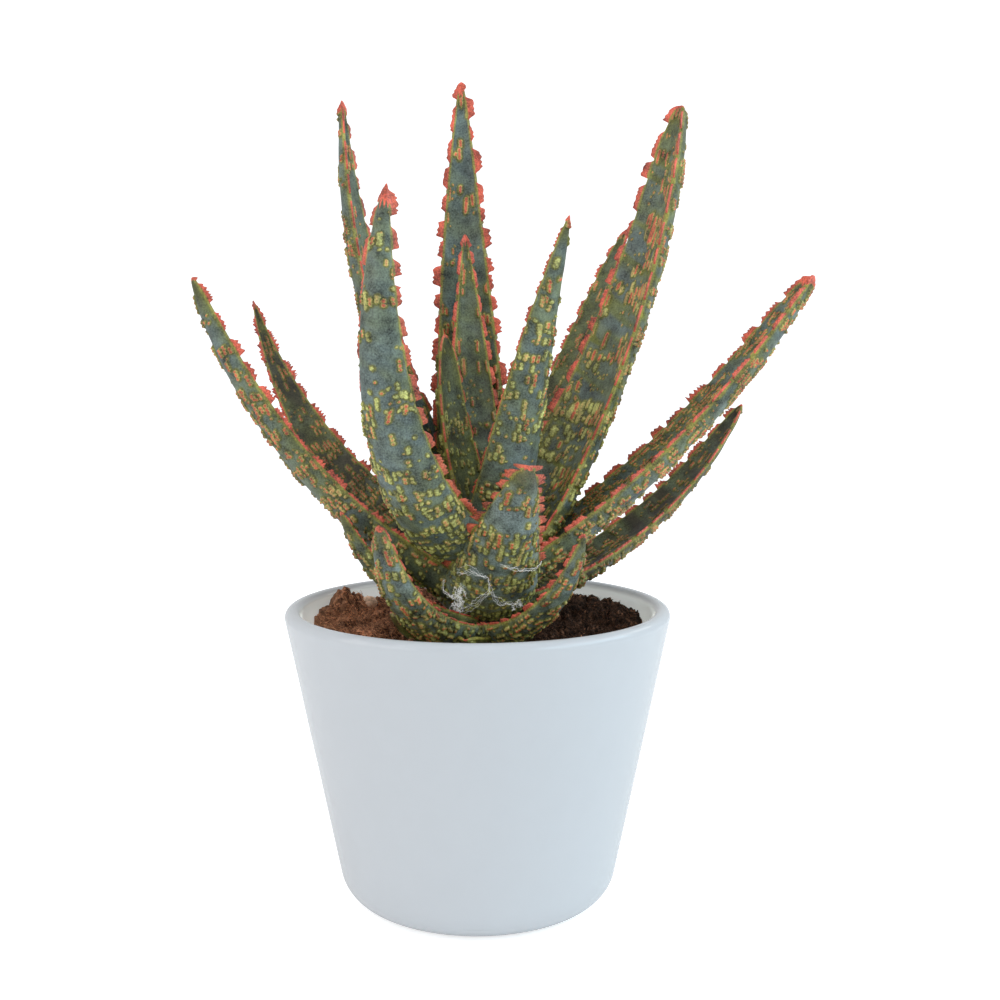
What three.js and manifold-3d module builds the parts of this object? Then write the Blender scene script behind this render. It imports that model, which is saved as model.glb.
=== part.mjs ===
// A potted aloe: a white glazed pot, its soil, and a rosette of fleshy toothed leaves on a short stem.
// Millimetres and degrees, +Z up, origin at the centre of the pot's flat base. The plant is seen from -Y.
import * as THREE from "three";
import { mergeVertices } from "three/addons/utils/BufferGeometryUtils.js";
import Module from "manifold-3d";

const wasm = await Module();
wasm.setup();

// Pot: a tapered cover pot with a rounded lip and a rounded foot.
const POT_HEIGHT = 109;
const RIM_RADIUS = 70.5;
const WALL_FOOT_RADIUS = 48.4; // where the wall's straight line would meet the table
const WALL_THICKNESS = 6;
const FOOT_ROUNDING = 14;
const FLOOR_THICKNESS = 7;
const INNER_FOOT_ROUNDING = 9;
const POT_SIDES = 48;
const ARC_STEPS = 4;
const LIP_STEPS = 6;

// Soil: loose peat, higher along the back wall than at the front, heaped up in places against the wall,
// with a hollow around the crown.
const SOIL_FRONT = 97;
const SOIL_BACK_RISE = 6.5;
const SOIL_CROWN_DIP = 2.5;
const SOIL_CROWN_RADIUS = 22;
const SOIL_LUMP = 0.9;
const SOIL_HEAPS = [
  { x: -52, y: 30, radius: 9, height: 7 },
  { x: -27, y: 53, radius: 9, height: 4 },
  { x: 42, y: 42, radius: 13, height: 1.8 },
  { x: 54, y: 22, radius: 11, height: 2.5 },
];
const SOIL_SIDES = 36;
const SOIL_RINGS = 7;

// Stem: short and thick, mostly hidden by the leaf bases, standing in a plain hole in the soil.
const STEM_X = 2;
const STEM_BOTTOM = 74;
const STEM_TOP = 141;
const STEM_RADIUS = 6.5;
const STEM_TOP_RADIUS = 4;
const STEM_SIDES = 18;

// Pebble on the soil, behind and to the left of the plant.
const PEBBLE = { x: -42, y: 33, length: 6.2, width: 5.6, height: 5, sunk: 1, turn: 25 };

const CLEARANCE = 0.35; // between pieces that press on each other

// Leaf form, shared by all leaves.
const ROOT_RADIUS = 4; // a leaf's midline starts this far from the stem's axis
const ROOT_NARROWING = 0.45;
const ROOT_NARROWING_REACH = 0.05; // as a share of the leaf's length, as the other reaches
const THICKNESS_RATIO = 0.2; // greatest thickness over root width
const INNER_SHARE = 0.3; // share of the thickness on the channelled inner face
const CHANNEL_BLADE = 0.75; // half the angle of the cross-section's arc, in radians
const CHANNEL_ROOT = 0.5; // added to it at the root
const CHANNEL_REACH = 0.15;
const BELLY_REACH = 0.1;
const TOOTH_PITCH = 9;
const TOOTH_HEIGHT = 1.7;
const TOOTH_HOOK = 0.9; // how far a tooth leans towards the leaf's tip
const WART_HEIGHT = 0.55;
const MIDLINE_STEPS = 8; // steps along the midline between two cross-sections
const QUARTER = 0.55; // where the faces have a row of points between midline and margin

// How squarely a tip rounds off.
const BLUNT = 12;
const POINTED = 5;

// The leaves, from the heart of the rosette outwards. heading: the way a leaf points, from +X towards +Y.
// bend: how far the heading has turned by the tip. root: height of the midline's start. from, to: climb at
// root and tip. belly: how much flatter it starts. roll: turn of the blade about its midline; twist: what
// the tip adds to it. taper: share of the width lost along the leaf.
const LEAVES = [
  {
    name: "leaf_01_heart",
    heading: 162, bend: -3, root: 136, from: 73, to: 90, belly: 0,
    length: 72, width: 25, roll: -14, twist: -12, taper: 0.66, tip: BLUNT,
  },
  {
    name: "leaf_02_heart_back",
    heading: 106, bend: 7, root: 130, from: 77, to: 86, belly: 0,
    length: 115, width: 28, roll: -6, twist: -4, taper: 0.75, tip: POINTED,
  },
  {
    name: "leaf_03_heart_right",
    heading: -51, bend: 0, root: 126, from: 77, to: 70, belly: 25,
    length: 127, width: 33, roll: -1, twist: 0, taper: 0.77, tip: POINTED,
  },
  {
    name: "leaf_04_tall_left",
    heading: 171, bend: 9, root: 128, from: 58, to: 90, belly: 0,
    length: 170, width: 33, roll: -15, twist: 8, taper: 0.56, tip: POINTED,
  },
  {
    name: "leaf_05_tall_back",
    heading: 103, bend: -2, root: 125, from: 70, to: 89, belly: 0,
    length: 180, width: 37, roll: -11, twist: -4, taper: 0.74, tip: POINTED,
  },
  {
    name: "leaf_06_broad_front_left",
    heading: -128, bend: 18, root: 130, from: 32, to: 112, belly: 43,
    length: 154, width: 38, roll: 8, twist: -2, taper: 0.87, tip: BLUNT,
  },
  {
    name: "leaf_07_back_right",
    heading: 54, bend: 0, root: 118, from: 54, to: 53, belly: 0,
    length: 165, width: 26, roll: -3, twist: -9, taper: 0.68, tip: BLUNT,
  },
  {
    name: "leaf_08_tall_right",
    heading: 18, bend: -8, root: 113, from: 54, to: 82, belly: 0,
    length: 193, width: 40, roll: 20, twist: -8, taper: 0.5, tip: BLUNT,
  },
  {
    name: "leaf_09_back_left",
    heading: 153, bend: -9, root: 116, from: 21, to: 71, belly: 0,
    length: 150, width: 31, roll: -30, twist: -9, taper: 0.82, tip: POINTED,
  },
  {
    name: "leaf_10_mid_back",
    heading: 100, bend: 0, root: 114, from: 48, to: 74, belly: 0,
    length: 112, width: 30, roll: 4, twist: 6, taper: 0.74, tip: POINTED,
  },
  {
    name: "leaf_11_far_right",
    heading: 1, bend: 0, root: 114, from: 32.5, to: 57, belly: 0,
    length: 163, width: 33, roll: 6, twist: 0, taper: 0.45, tip: BLUNT,
  },
  {
    name: "leaf_12_far_left",
    heading: 182, bend: 9, root: 110, from: 28, to: 72, belly: 0,
    length: 156, width: 32, roll: 8, twist: 12, taper: 0.68, tip: BLUNT,
  },
  {
    name: "leaf_13_short_front",
    heading: -76, bend: 6, root: 108, from: 50, to: 54, belly: 24,
    length: 74, width: 44, roll: -7, twist: -4, taper: 0.81, tip: BLUNT,
  },
  {
    name: "leaf_14_low_back",
    heading: 70, bend: 5, root: 106, from: 22, to: 62, belly: 0,
    length: 88, width: 29, roll: 0, twist: 5, taper: 0.74, tip: BLUNT,
  },
  {
    name: "leaf_15_low_right",
    heading: 24, bend: 3, root: 106, from: 13, to: 55, belly: 0,
    length: 135, width: 29, roll: 4, twist: 5, taper: 0.7, tip: BLUNT,
  },
  {
    name: "leaf_16_low_back_left",
    heading: 122, bend: -4, root: 103, from: 16, to: 64, belly: 0,
    length: 84, width: 28, roll: 3, twist: 0, taper: 0.76, tip: POINTED,
  },
  {
    name: "leaf_17_low_left",
    heading: -162, bend: 3, root: 99, from: 16, to: 71, belly: 0,
    length: 70, width: 26, roll: 5, twist: 5, taper: 0.75, tip: BLUNT,
  },
  {
    name: "leaf_18_low_front_right",
    heading: -47, bend: 2, root: 97.5, from: 8, to: 78, belly: 0,
    length: 66, width: 27, roll: -1, twist: 4, taper: 0.83, tip: BLUNT,
  },
  {
    name: "leaf_19_low_front_left",
    heading: -132, bend: 2, root: 97.5, from: 0, to: 86, belly: 0,
    length: 74, width: 31, roll: 3, twist: 2, taper: 0.73, tip: BLUNT,
  },
  {
    name: "leaf_20_basal_left",
    heading: -160, bend: 0, root: 94, from: -12, to: 62, belly: 0,
    length: 37, width: 17, roll: 8, twist: 0, taper: 0.5, tip: BLUNT,
  },
  {
    name: "leaf_21_basal_front",
    heading: -101, bend: 0, root: 96, from: 8, to: 18, belly: 0,
    length: 30, width: 14, roll: 0, twist: 0, taper: 0.45, tip: BLUNT,
  },
];

const radians = THREE.MathUtils.degToRad;

// A seeded generator of numbers from 0 to 1.
function generator(seed) {
  let state = seed >>> 0;
  return () => {
    state = (state + 0x6d2b79f5) >>> 0;
    let t = Math.imul(state ^ (state >>> 15), 1 | state);
    t = (t + Math.imul(t ^ (t >>> 7), 61 | t)) ^ t;
    return ((t ^ (t >>> 14)) >>> 0) / 2 ** 32;
  };
}

// ---- Solids ----------------------------------------------------------------------------------------

function solidFrom(geometry) {
  const bare = geometry.clone();
  bare.deleteAttribute("normal");
  bare.deleteAttribute("uv");
  const merged = mergeVertices(bare, 1e-4);
  const corners = [];
  const index = merged.index.array;
  for (let i = 0; i < index.length; i += 3) {
    const [a, b, c] = [index[i], index[i + 1], index[i + 2]];
    if (a !== b && b !== c && c !== a) corners.push(a, b, c);
  }
  return new wasm.Manifold(
    new wasm.Mesh({
      numProp: 3,
      vertProperties: new Float32Array(merged.attributes.position.array),
      triVerts: new Uint32Array(corners),
    }),
  );
}

function geometryFrom(solid) {
  const mesh = solid.getMesh();
  const geometry = new THREE.BufferGeometry();
  geometry.setAttribute("position", new THREE.BufferAttribute(new Float32Array(mesh.vertProperties), 3));
  geometry.setIndex(new THREE.BufferAttribute(new Uint32Array(mesh.triVerts), 1));
  geometry.computeVertexNormals();
  return geometry;
}

function largestBody(solid) {
  const bodies = solid.decompose();
  return bodies.reduce((best, body) => (body.volume() > best.volume() ? body : best));
}

// A closed surface from points and triangles.
function surface(points, triangles) {
  const geometry = new THREE.BufferGeometry().setFromPoints(points);
  geometry.setIndex(triangles);
  return geometry;
}

// A profile of (radius, height) points turned about the upright axis.
function turned(profile, sides) {
  return new THREE.LatheGeometry(profile, sides).rotateX(Math.PI / 2);
}

// ---- Pot -------------------------------------------------------------------------------------------

const WALL_LEAN = Math.atan2(RIM_RADIUS - WALL_FOOT_RADIUS, POT_HEIGHT);

function wallRadius(height) {
  return WALL_FOOT_RADIUS + height * Math.tan(WALL_LEAN);
}

function arc(centreRadius, centreHeight, radius, from, to, steps) {
  const points = [];
  for (let i = 0; i <= steps; i++) {
    const angle = from + ((to - from) * i) / steps;
    const outwards = centreRadius + radius * Math.cos(angle);
    points.push(new THREE.Vector2(outwards, centreHeight + radius * Math.sin(angle)));
  }
  return points;
}

// The pot's inside from the wall below the lip down to the middle of the floor, moved inwards by a gap.
function insideProfile(gap) {
  const rounding = INNER_FOOT_ROUNDING;
  const height = FLOOR_THICKNESS + rounding + gap;
  const centre = wallRadius(height) - WALL_THICKNESS - (gap + rounding) / Math.cos(WALL_LEAN);
  const foot = arc(centre, height, rounding, -WALL_LEAN, -Math.PI / 2, ARC_STEPS);
  return [...foot, new THREE.Vector2(0, FLOOR_THICKNESS + gap)];
}

function potGeometry() {
  const footCentre = WALL_FOOT_RADIUS - (FOOT_ROUNDING * (1 - Math.sin(WALL_LEAN))) / Math.cos(WALL_LEAN);
  const lipRounding = (WALL_THICKNESS * Math.cos(WALL_LEAN)) / 2;
  const lipHeight = POT_HEIGHT - lipRounding;
  const lipCentre = wallRadius(lipHeight) - WALL_THICKNESS / 2;
  const profile = [
    new THREE.Vector2(0, 0),
    ...arc(footCentre, FOOT_ROUNDING, FOOT_ROUNDING, -Math.PI / 2, -WALL_LEAN, ARC_STEPS),
    ...arc(lipCentre, lipHeight, lipRounding, -WALL_LEAN, Math.PI - WALL_LEAN, LIP_STEPS),
    ...insideProfile(0),
  ];
  return turned(profile, POT_SIDES);
}

// ---- Soil and pebble -------------------------------------------------------------------------------

const SOIL_RADIUS = wallRadius(SOIL_FRONT) - WALL_THICKNESS - CLEARANCE / Math.cos(WALL_LEAN);

function soilHeight(x, y) {
  const out = Math.min(1, Math.hypot(x, y) / SOIL_RADIUS);
  const back = 0.5 + (0.5 * y) / SOIL_RADIUS;
  const crown = Math.hypot(x - STEM_X, y) / SOIL_CROWN_RADIUS;
  let height = SOIL_FRONT + SOIL_BACK_RISE * Math.max(0, back) ** 1.3 * out ** 0.7;
  height -= SOIL_CROWN_DIP * Math.exp(-(crown ** 2));
  height += SOIL_LUMP * Math.sin(0.31 * x + 1.3) * Math.cos(0.27 * y + 0.5);
  height += 0.6 * SOIL_LUMP * Math.sin(0.52 * x - 0.37 * y);
  for (const heap of SOIL_HEAPS) {
    const away = Math.hypot(x - heap.x, y - heap.y) / heap.radius;
    height += heap.height * Math.exp(-(away ** 2));
  }
  return height;
}

// The soil raised by a lift, so that what lies on it can be cut to rest just above it.
function soilGeometry(lift) {
  const below = insideProfile(CLEARANCE);
  const floor = below.pop();
  const rows = SOIL_RINGS + below.length;
  const points = [new THREE.Vector3(0, 0, soilHeight(0, 0) + lift)];
  for (let row = 1; row <= rows; row++) {
    for (let side = 0; side < SOIL_SIDES; side++) {
      const angle = (2 * Math.PI * side) / SOIL_SIDES;
      const [cos, sin] = [Math.cos(angle), Math.sin(angle)];
      const under = below[row - SOIL_RINGS - 1];
      let radius = under ? under.x : (SOIL_RADIUS * row) / SOIL_RINGS;
      let height = under ? under.y : soilHeight(radius * cos, radius * sin) + lift;
      if (row === SOIL_RINGS) radius = wallRadius(height) - WALL_THICKNESS - CLEARANCE / Math.cos(WALL_LEAN);
      points.push(new THREE.Vector3(radius * cos, radius * sin, height));
    }
  }
  points.push(new THREE.Vector3(0, 0, floor.y));
  const last = points.length - 1;
  const at = (row, side) => 1 + (row - 1) * SOIL_SIDES + (side % SOIL_SIDES);
  const triangles = [];
  for (let side = 0; side < SOIL_SIDES; side++) {
    triangles.push(0, at(1, side), at(1, side + 1));
    for (let row = 1; row < rows; row++) {
      triangles.push(at(row, side), at(row + 1, side), at(row + 1, side + 1));
      triangles.push(at(row, side), at(row + 1, side + 1), at(row, side + 1));
    }
    triangles.push(at(rows, side), last, at(rows, side + 1));
  }
  return surface(points, triangles);
}

function pebbleGeometry(grow) {
  const size = [PEBBLE.length, PEBBLE.width, PEBBLE.height].map((side) => side / 2 + grow);
  const centre = soilHeight(PEBBLE.x, PEBBLE.y) + PEBBLE.height / 2 - PEBBLE.sunk;
  return new THREE.IcosahedronGeometry(1, 1)
    .scale(...size)
    .rotateZ(radians(PEBBLE.turn))
    .translate(PEBBLE.x, PEBBLE.y, centre);
}

// ---- Stem ------------------------------------------------------------------------------------------

function stemGeometry(grow) {
  const shoulder = STEM_TOP - STEM_TOP_RADIUS;
  const foot = STEM_BOTTOM + STEM_RADIUS / 2;
  const profile = [
    new THREE.Vector2(0, STEM_BOTTOM - grow),
    new THREE.Vector2(STEM_RADIUS / 2 + grow, STEM_BOTTOM - grow),
    new THREE.Vector2(STEM_RADIUS + grow, foot),
    new THREE.Vector2(STEM_RADIUS + grow, SOIL_FRONT + STEM_RADIUS),
    new THREE.Vector2(STEM_TOP_RADIUS + grow, shoulder),
    new THREE.Vector2(STEM_TOP_RADIUS * 0.7 + grow, STEM_TOP - STEM_TOP_RADIUS * 0.3 + grow),
    new THREE.Vector2(0, STEM_TOP + grow),
  ];
  return turned(profile, STEM_SIDES).translate(STEM_X, 0, 0);
}

// ---- Leaves ----------------------------------------------------------------------------------------

function widthShare(s, leaf) {
  const rounding = Math.max(0, 1 - s ** leaf.tip) ** 0.6;
  const narrowing = 1 - ROOT_NARROWING * Math.exp(-s / ROOT_NARROWING_REACH);
  return (1 - leaf.taper * s) * rounding * narrowing;
}

// The direction of a leaf's midline, the side of its blade and the way its inner face looks.
function bladeFrame(s, leaf) {
  const heading = radians(leaf.heading + leaf.bend * s);
  const climb = radians(leaf.from + (leaf.to - leaf.from) * s - leaf.belly * Math.exp(-s / BELLY_REACH));
  const roll = radians(leaf.roll + leaf.twist * s);
  const ahead = new THREE.Vector3(
    Math.cos(climb) * Math.cos(heading),
    Math.cos(climb) * Math.sin(heading),
    Math.sin(climb),
  );
  const side = new THREE.Vector3(-Math.sin(heading), Math.cos(heading), 0).applyAxisAngle(ahead, roll);
  return { ahead, side, inner: new THREE.Vector3().crossVectors(ahead, side) };
}

// Cross-sections along a leaf, from its root almost to its tip. Each has the inner face's points from one
// margin to the other, then the outer face's points on the way back. Every second one has a tooth on
// each margin.
function leafSections(leaf, grow) {
  const random = generator(leaf.root * 1000 + leaf.heading + 720);
  const sections = 2 * Math.round(leaf.length / TOOTH_PITCH);
  const step = leaf.length / (sections * MIDLINE_STEPS);
  const rows = [];
  const heading = radians(leaf.heading);
  const place = new THREE.Vector3(
    STEM_X + ROOT_RADIUS * Math.cos(heading),
    ROOT_RADIUS * Math.sin(heading),
    leaf.root,
  );
  for (let i = 0; i < sections; i++) {
    const s = i / sections;
    const { ahead, side, inner } = bladeFrame(s, leaf);
    const share = widthShare(s, leaf);
    const half = (leaf.width / 2) * share;
    const thickness = THICKNESS_RATIO * leaf.width * share ** 0.75;
    const bow = CHANNEL_BLADE + CHANNEL_ROOT * Math.exp(-s / CHANNEL_REACH);
    const toothed = i % 2 === 1 && i > 1;
    const tooth = toothed ? Math.min(TOOTH_HEIGHT, 0.3 * half) : 0;
    const at = (across, face) => {
      const angle = bow * across;
      const margin = Math.abs(across) === 1;
      const wart = margin || i === 0 ? 0 : WART_HEIGHT * share * random();
      const depth = thickness * (1 - across ** 2) ** 0.7;
      let off = face > 0 ? INNER_SHARE * depth + grow + wart : (INNER_SHARE - 1) * depth - grow - wart;
      if (margin) off = 0;
      const out = margin ? Math.sign(across) * (3 * grow + tooth) : 0;
      const sideways = (half / bow - off) * Math.sin(angle) + out * Math.cos(angle);
      const raised = half / bow - (half / bow - off) * Math.cos(angle) + out * Math.sin(angle);
      return place
        .clone()
        .addScaledVector(side, sideways)
        .addScaledVector(inner, raised)
        .addScaledVector(ahead, margin && toothed ? TOOTH_HOOK : 0);
    };
    rows.push([
      ...[-1, -QUARTER, 0, QUARTER, 1].map((across) => at(across, 1)),
      ...[QUARTER, 0, -QUARTER].map((across) => at(across, -1)),
    ]);
    for (let k = 0; k < MIDLINE_STEPS; k++) {
      place.addScaledVector(bladeFrame(s + (k + 0.5) / (sections * MIDLINE_STEPS), leaf).ahead, step);
    }
  }
  place.addScaledVector(bladeFrame(1, leaf).ahead, grow);
  return { rows, tip: place };
}

function leafGeometry(leaf, grow) {
  const { rows, tip } = leafSections(leaf, grow);
  const around = rows[0].length;
  const innerFace = around / 2;
  const points = [...rows.flat(), tip];
  const last = points.length - 1;
  const at = (row, column) => row * around + (column % around);
  const triangles = [];
  for (let row = 0; row < rows.length; row++) {
    for (let column = 0; column < around; column++) {
      const [a, b] = [at(row, column), at(row, column + 1)];
      if (row === rows.length - 1) {
        triangles.push(b, a, last);
        continue;
      }
      const [c, d] = [at(row + 1, column + 1), at(row + 1, column)];
      if (column < innerFace) triangles.push(a, c, b, a, d, c);
      else triangles.push(a, d, b, b, d, c);
    }
  }
  // The root's end, closed between its inner and outer points.
  const cap = [0, 1, 7, 1, 6, 7, 1, 2, 6, 2, 5, 6, 2, 3, 5, 3, 4, 5];
  triangles.push(...cap);
  return surface(points, triangles);
}

// Each leaf is cut back from the stem, the soil and the leaves nearer the heart that it presses on.
function leafSolids(stem, soil) {
  const placed = [];
  const solids = new Map();
  for (const leaf of LEAVES) {
    let solid = solidFrom(leafGeometry(leaf, 0)).subtract(stem).subtract(soil);
    for (const neighbour of placed) solid = solid.subtract(neighbour);
    solids.set(leaf.name, largestBody(solid));
    placed.push(solidFrom(leafGeometry(leaf, CLEARANCE)));
  }
  return solids;
}

// ---- The potted plant ------------------------------------------------------------------------------

const materials = {
  glaze: new THREE.MeshStandardMaterial({ color: 0xdfe3ea, roughness: 0.12, metalness: 0 }),
  peat: new THREE.MeshStandardMaterial({ color: 0x3b241a, roughness: 0.95, metalness: 0 }),
  stone: new THREE.MeshStandardMaterial({ color: 0x9a7a62, roughness: 0.85, metalness: 0 }),
  bark: new THREE.MeshStandardMaterial({ color: 0x6f6a45, roughness: 0.8, metalness: 0 }),
  leaf: new THREE.MeshStandardMaterial({ color: 0x546b5e, roughness: 0.5, metalness: 0 }),
};

const plant = new THREE.Group();

function add(name, solid, material) {
  const mesh = new THREE.Mesh(geometryFrom(solid), material.clone());
  mesh.name = name;
  plant.add(mesh);
}

const stemRoom = solidFrom(stemGeometry(CLEARANCE));
const raisedSoil = solidFrom(soilGeometry(CLEARANCE));
const pebbleRoom = solidFrom(pebbleGeometry(CLEARANCE));

add("pot", solidFrom(potGeometry()), materials.glaze);
add("soil", solidFrom(soilGeometry(0)).subtract(stemRoom).subtract(pebbleRoom), materials.peat);
add("pebble", solidFrom(pebbleGeometry(0)), materials.stone);
add("stem", solidFrom(stemGeometry(0)), materials.bark);
for (const [name, solid] of leafSolids(stemRoom, raisedSoil)) add(name, solid, materials.leaf);

export default plant;
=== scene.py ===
import math
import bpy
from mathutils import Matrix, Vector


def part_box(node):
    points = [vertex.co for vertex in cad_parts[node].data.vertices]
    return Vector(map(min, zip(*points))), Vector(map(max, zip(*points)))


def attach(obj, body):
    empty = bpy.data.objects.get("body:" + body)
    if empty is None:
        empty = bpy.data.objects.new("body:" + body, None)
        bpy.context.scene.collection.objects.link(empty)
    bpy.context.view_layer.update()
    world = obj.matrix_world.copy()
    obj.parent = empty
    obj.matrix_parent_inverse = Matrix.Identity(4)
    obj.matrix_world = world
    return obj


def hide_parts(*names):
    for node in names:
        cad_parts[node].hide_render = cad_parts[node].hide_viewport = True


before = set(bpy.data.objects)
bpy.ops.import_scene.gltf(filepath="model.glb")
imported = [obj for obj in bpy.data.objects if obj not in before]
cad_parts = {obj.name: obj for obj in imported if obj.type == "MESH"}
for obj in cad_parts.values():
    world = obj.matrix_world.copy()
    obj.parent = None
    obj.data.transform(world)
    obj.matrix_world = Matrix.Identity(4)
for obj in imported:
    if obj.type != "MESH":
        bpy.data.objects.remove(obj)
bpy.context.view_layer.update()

from types import SimpleNamespace

import bpy
import numpy as np
from mathutils import Quaternion, Vector

bl_info = {
    "name": "Potted Aloe",
    "version": (1, 0, 0),
    "blender": (4, 5, 0),
    "location": "3D View > Sidebar > Aloe",
    "description": "Dresses the packed aloe: glazed pot, coir, stem, warty leaves, cobweb and a studio.",
    "category": "Object",
}

MM = 0.001

# ---- Sizes shared with the part's source, in millimetres and degrees --------------------------------

POT_HEIGHT = 109
RIM_RADIUS = 70.5
WALL_FOOT_RADIUS = 48.4
WALL_THICKNESS = 6
FOOT_ROUNDING = 14
FLOOR_THICKNESS = 7
INNER_FOOT_ROUNDING = 9
WALL_LEAN = math.atan2(RIM_RADIUS - WALL_FOOT_RADIUS, POT_HEIGHT)

SOIL_FRONT = 97
SOIL_BACK_RISE = 6.5
SOIL_CROWN_DIP = 2.5
SOIL_CROWN_RADIUS = 22
SOIL_LUMP = 0.9
SOIL_HEAPS = ((-52, 30, 9, 7), (-27, 53, 9, 4), (42, 42, 13, 1.8), (54, 22, 11, 2.5))  # x, y, radius, height

STEM_X = 2
STEM_BOTTOM = 74
STEM_TOP = 141
STEM_RADIUS = 6.5
STEM_TOP_RADIUS = 4

PEBBLE = SimpleNamespace(x=-42, y=33, length=6.2, width=5.6, height=5, turn=25)
CLEARANCE = 0.35

ROOT_RADIUS = 4
ROOT_NARROWING = 0.45
ROOT_NARROWING_REACH = 0.05
THICKNESS_RATIO = 0.2
INNER_SHARE = 0.3
CHANNEL_BLADE = 0.75
CHANNEL_ROOT = 0.5
CHANNEL_REACH = 0.15
BELLY_REACH = 0.1
TOOTH_PITCH = 9
BLUNT = 12
POINTED = 5

# Looks of a leaf: warts is how many of the places for a wart are taken, warm how red their centres are,
# olive how much of the skin is yellow-green, dark how much painted shade browns it, bloom how much of
# it is pale with wax, which on shaded leaves is also painted light, patch how far the warts stand together
# in patches, rim how wide the toothed rim is, ragged how deep its teeth are cut, lobes how many lobes it has
# for each tooth of the solid, cap the length of the coral tip in millimetres, dry how much of the tip has
# withered, grow how large the warts are, and flare how far the rim follows the curl of the blade.
PLAIN = {"warts": 0.5, "warm": 0.5, "olive": 0.2, "dark": 0, "bloom": 0.15, "patch": 0, "rim": 1,
         "ragged": 0.15, "lobes": 1, "cap": 3, "dry": 0, "grow": 1, "flare": 0.5}


def leaf(name, heading, bend, root, climb, belly, length, width, roll, twist, taper, tip, **looks):
    values = {**PLAIN, **looks}
    return SimpleNamespace(
        name=name, heading=heading, bend=bend, root=root, start=climb[0], end=climb[1], belly=belly,
        length=length, width=width, roll=roll, twist=twist, taper=taper, tip=tip, **values,
    )


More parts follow.
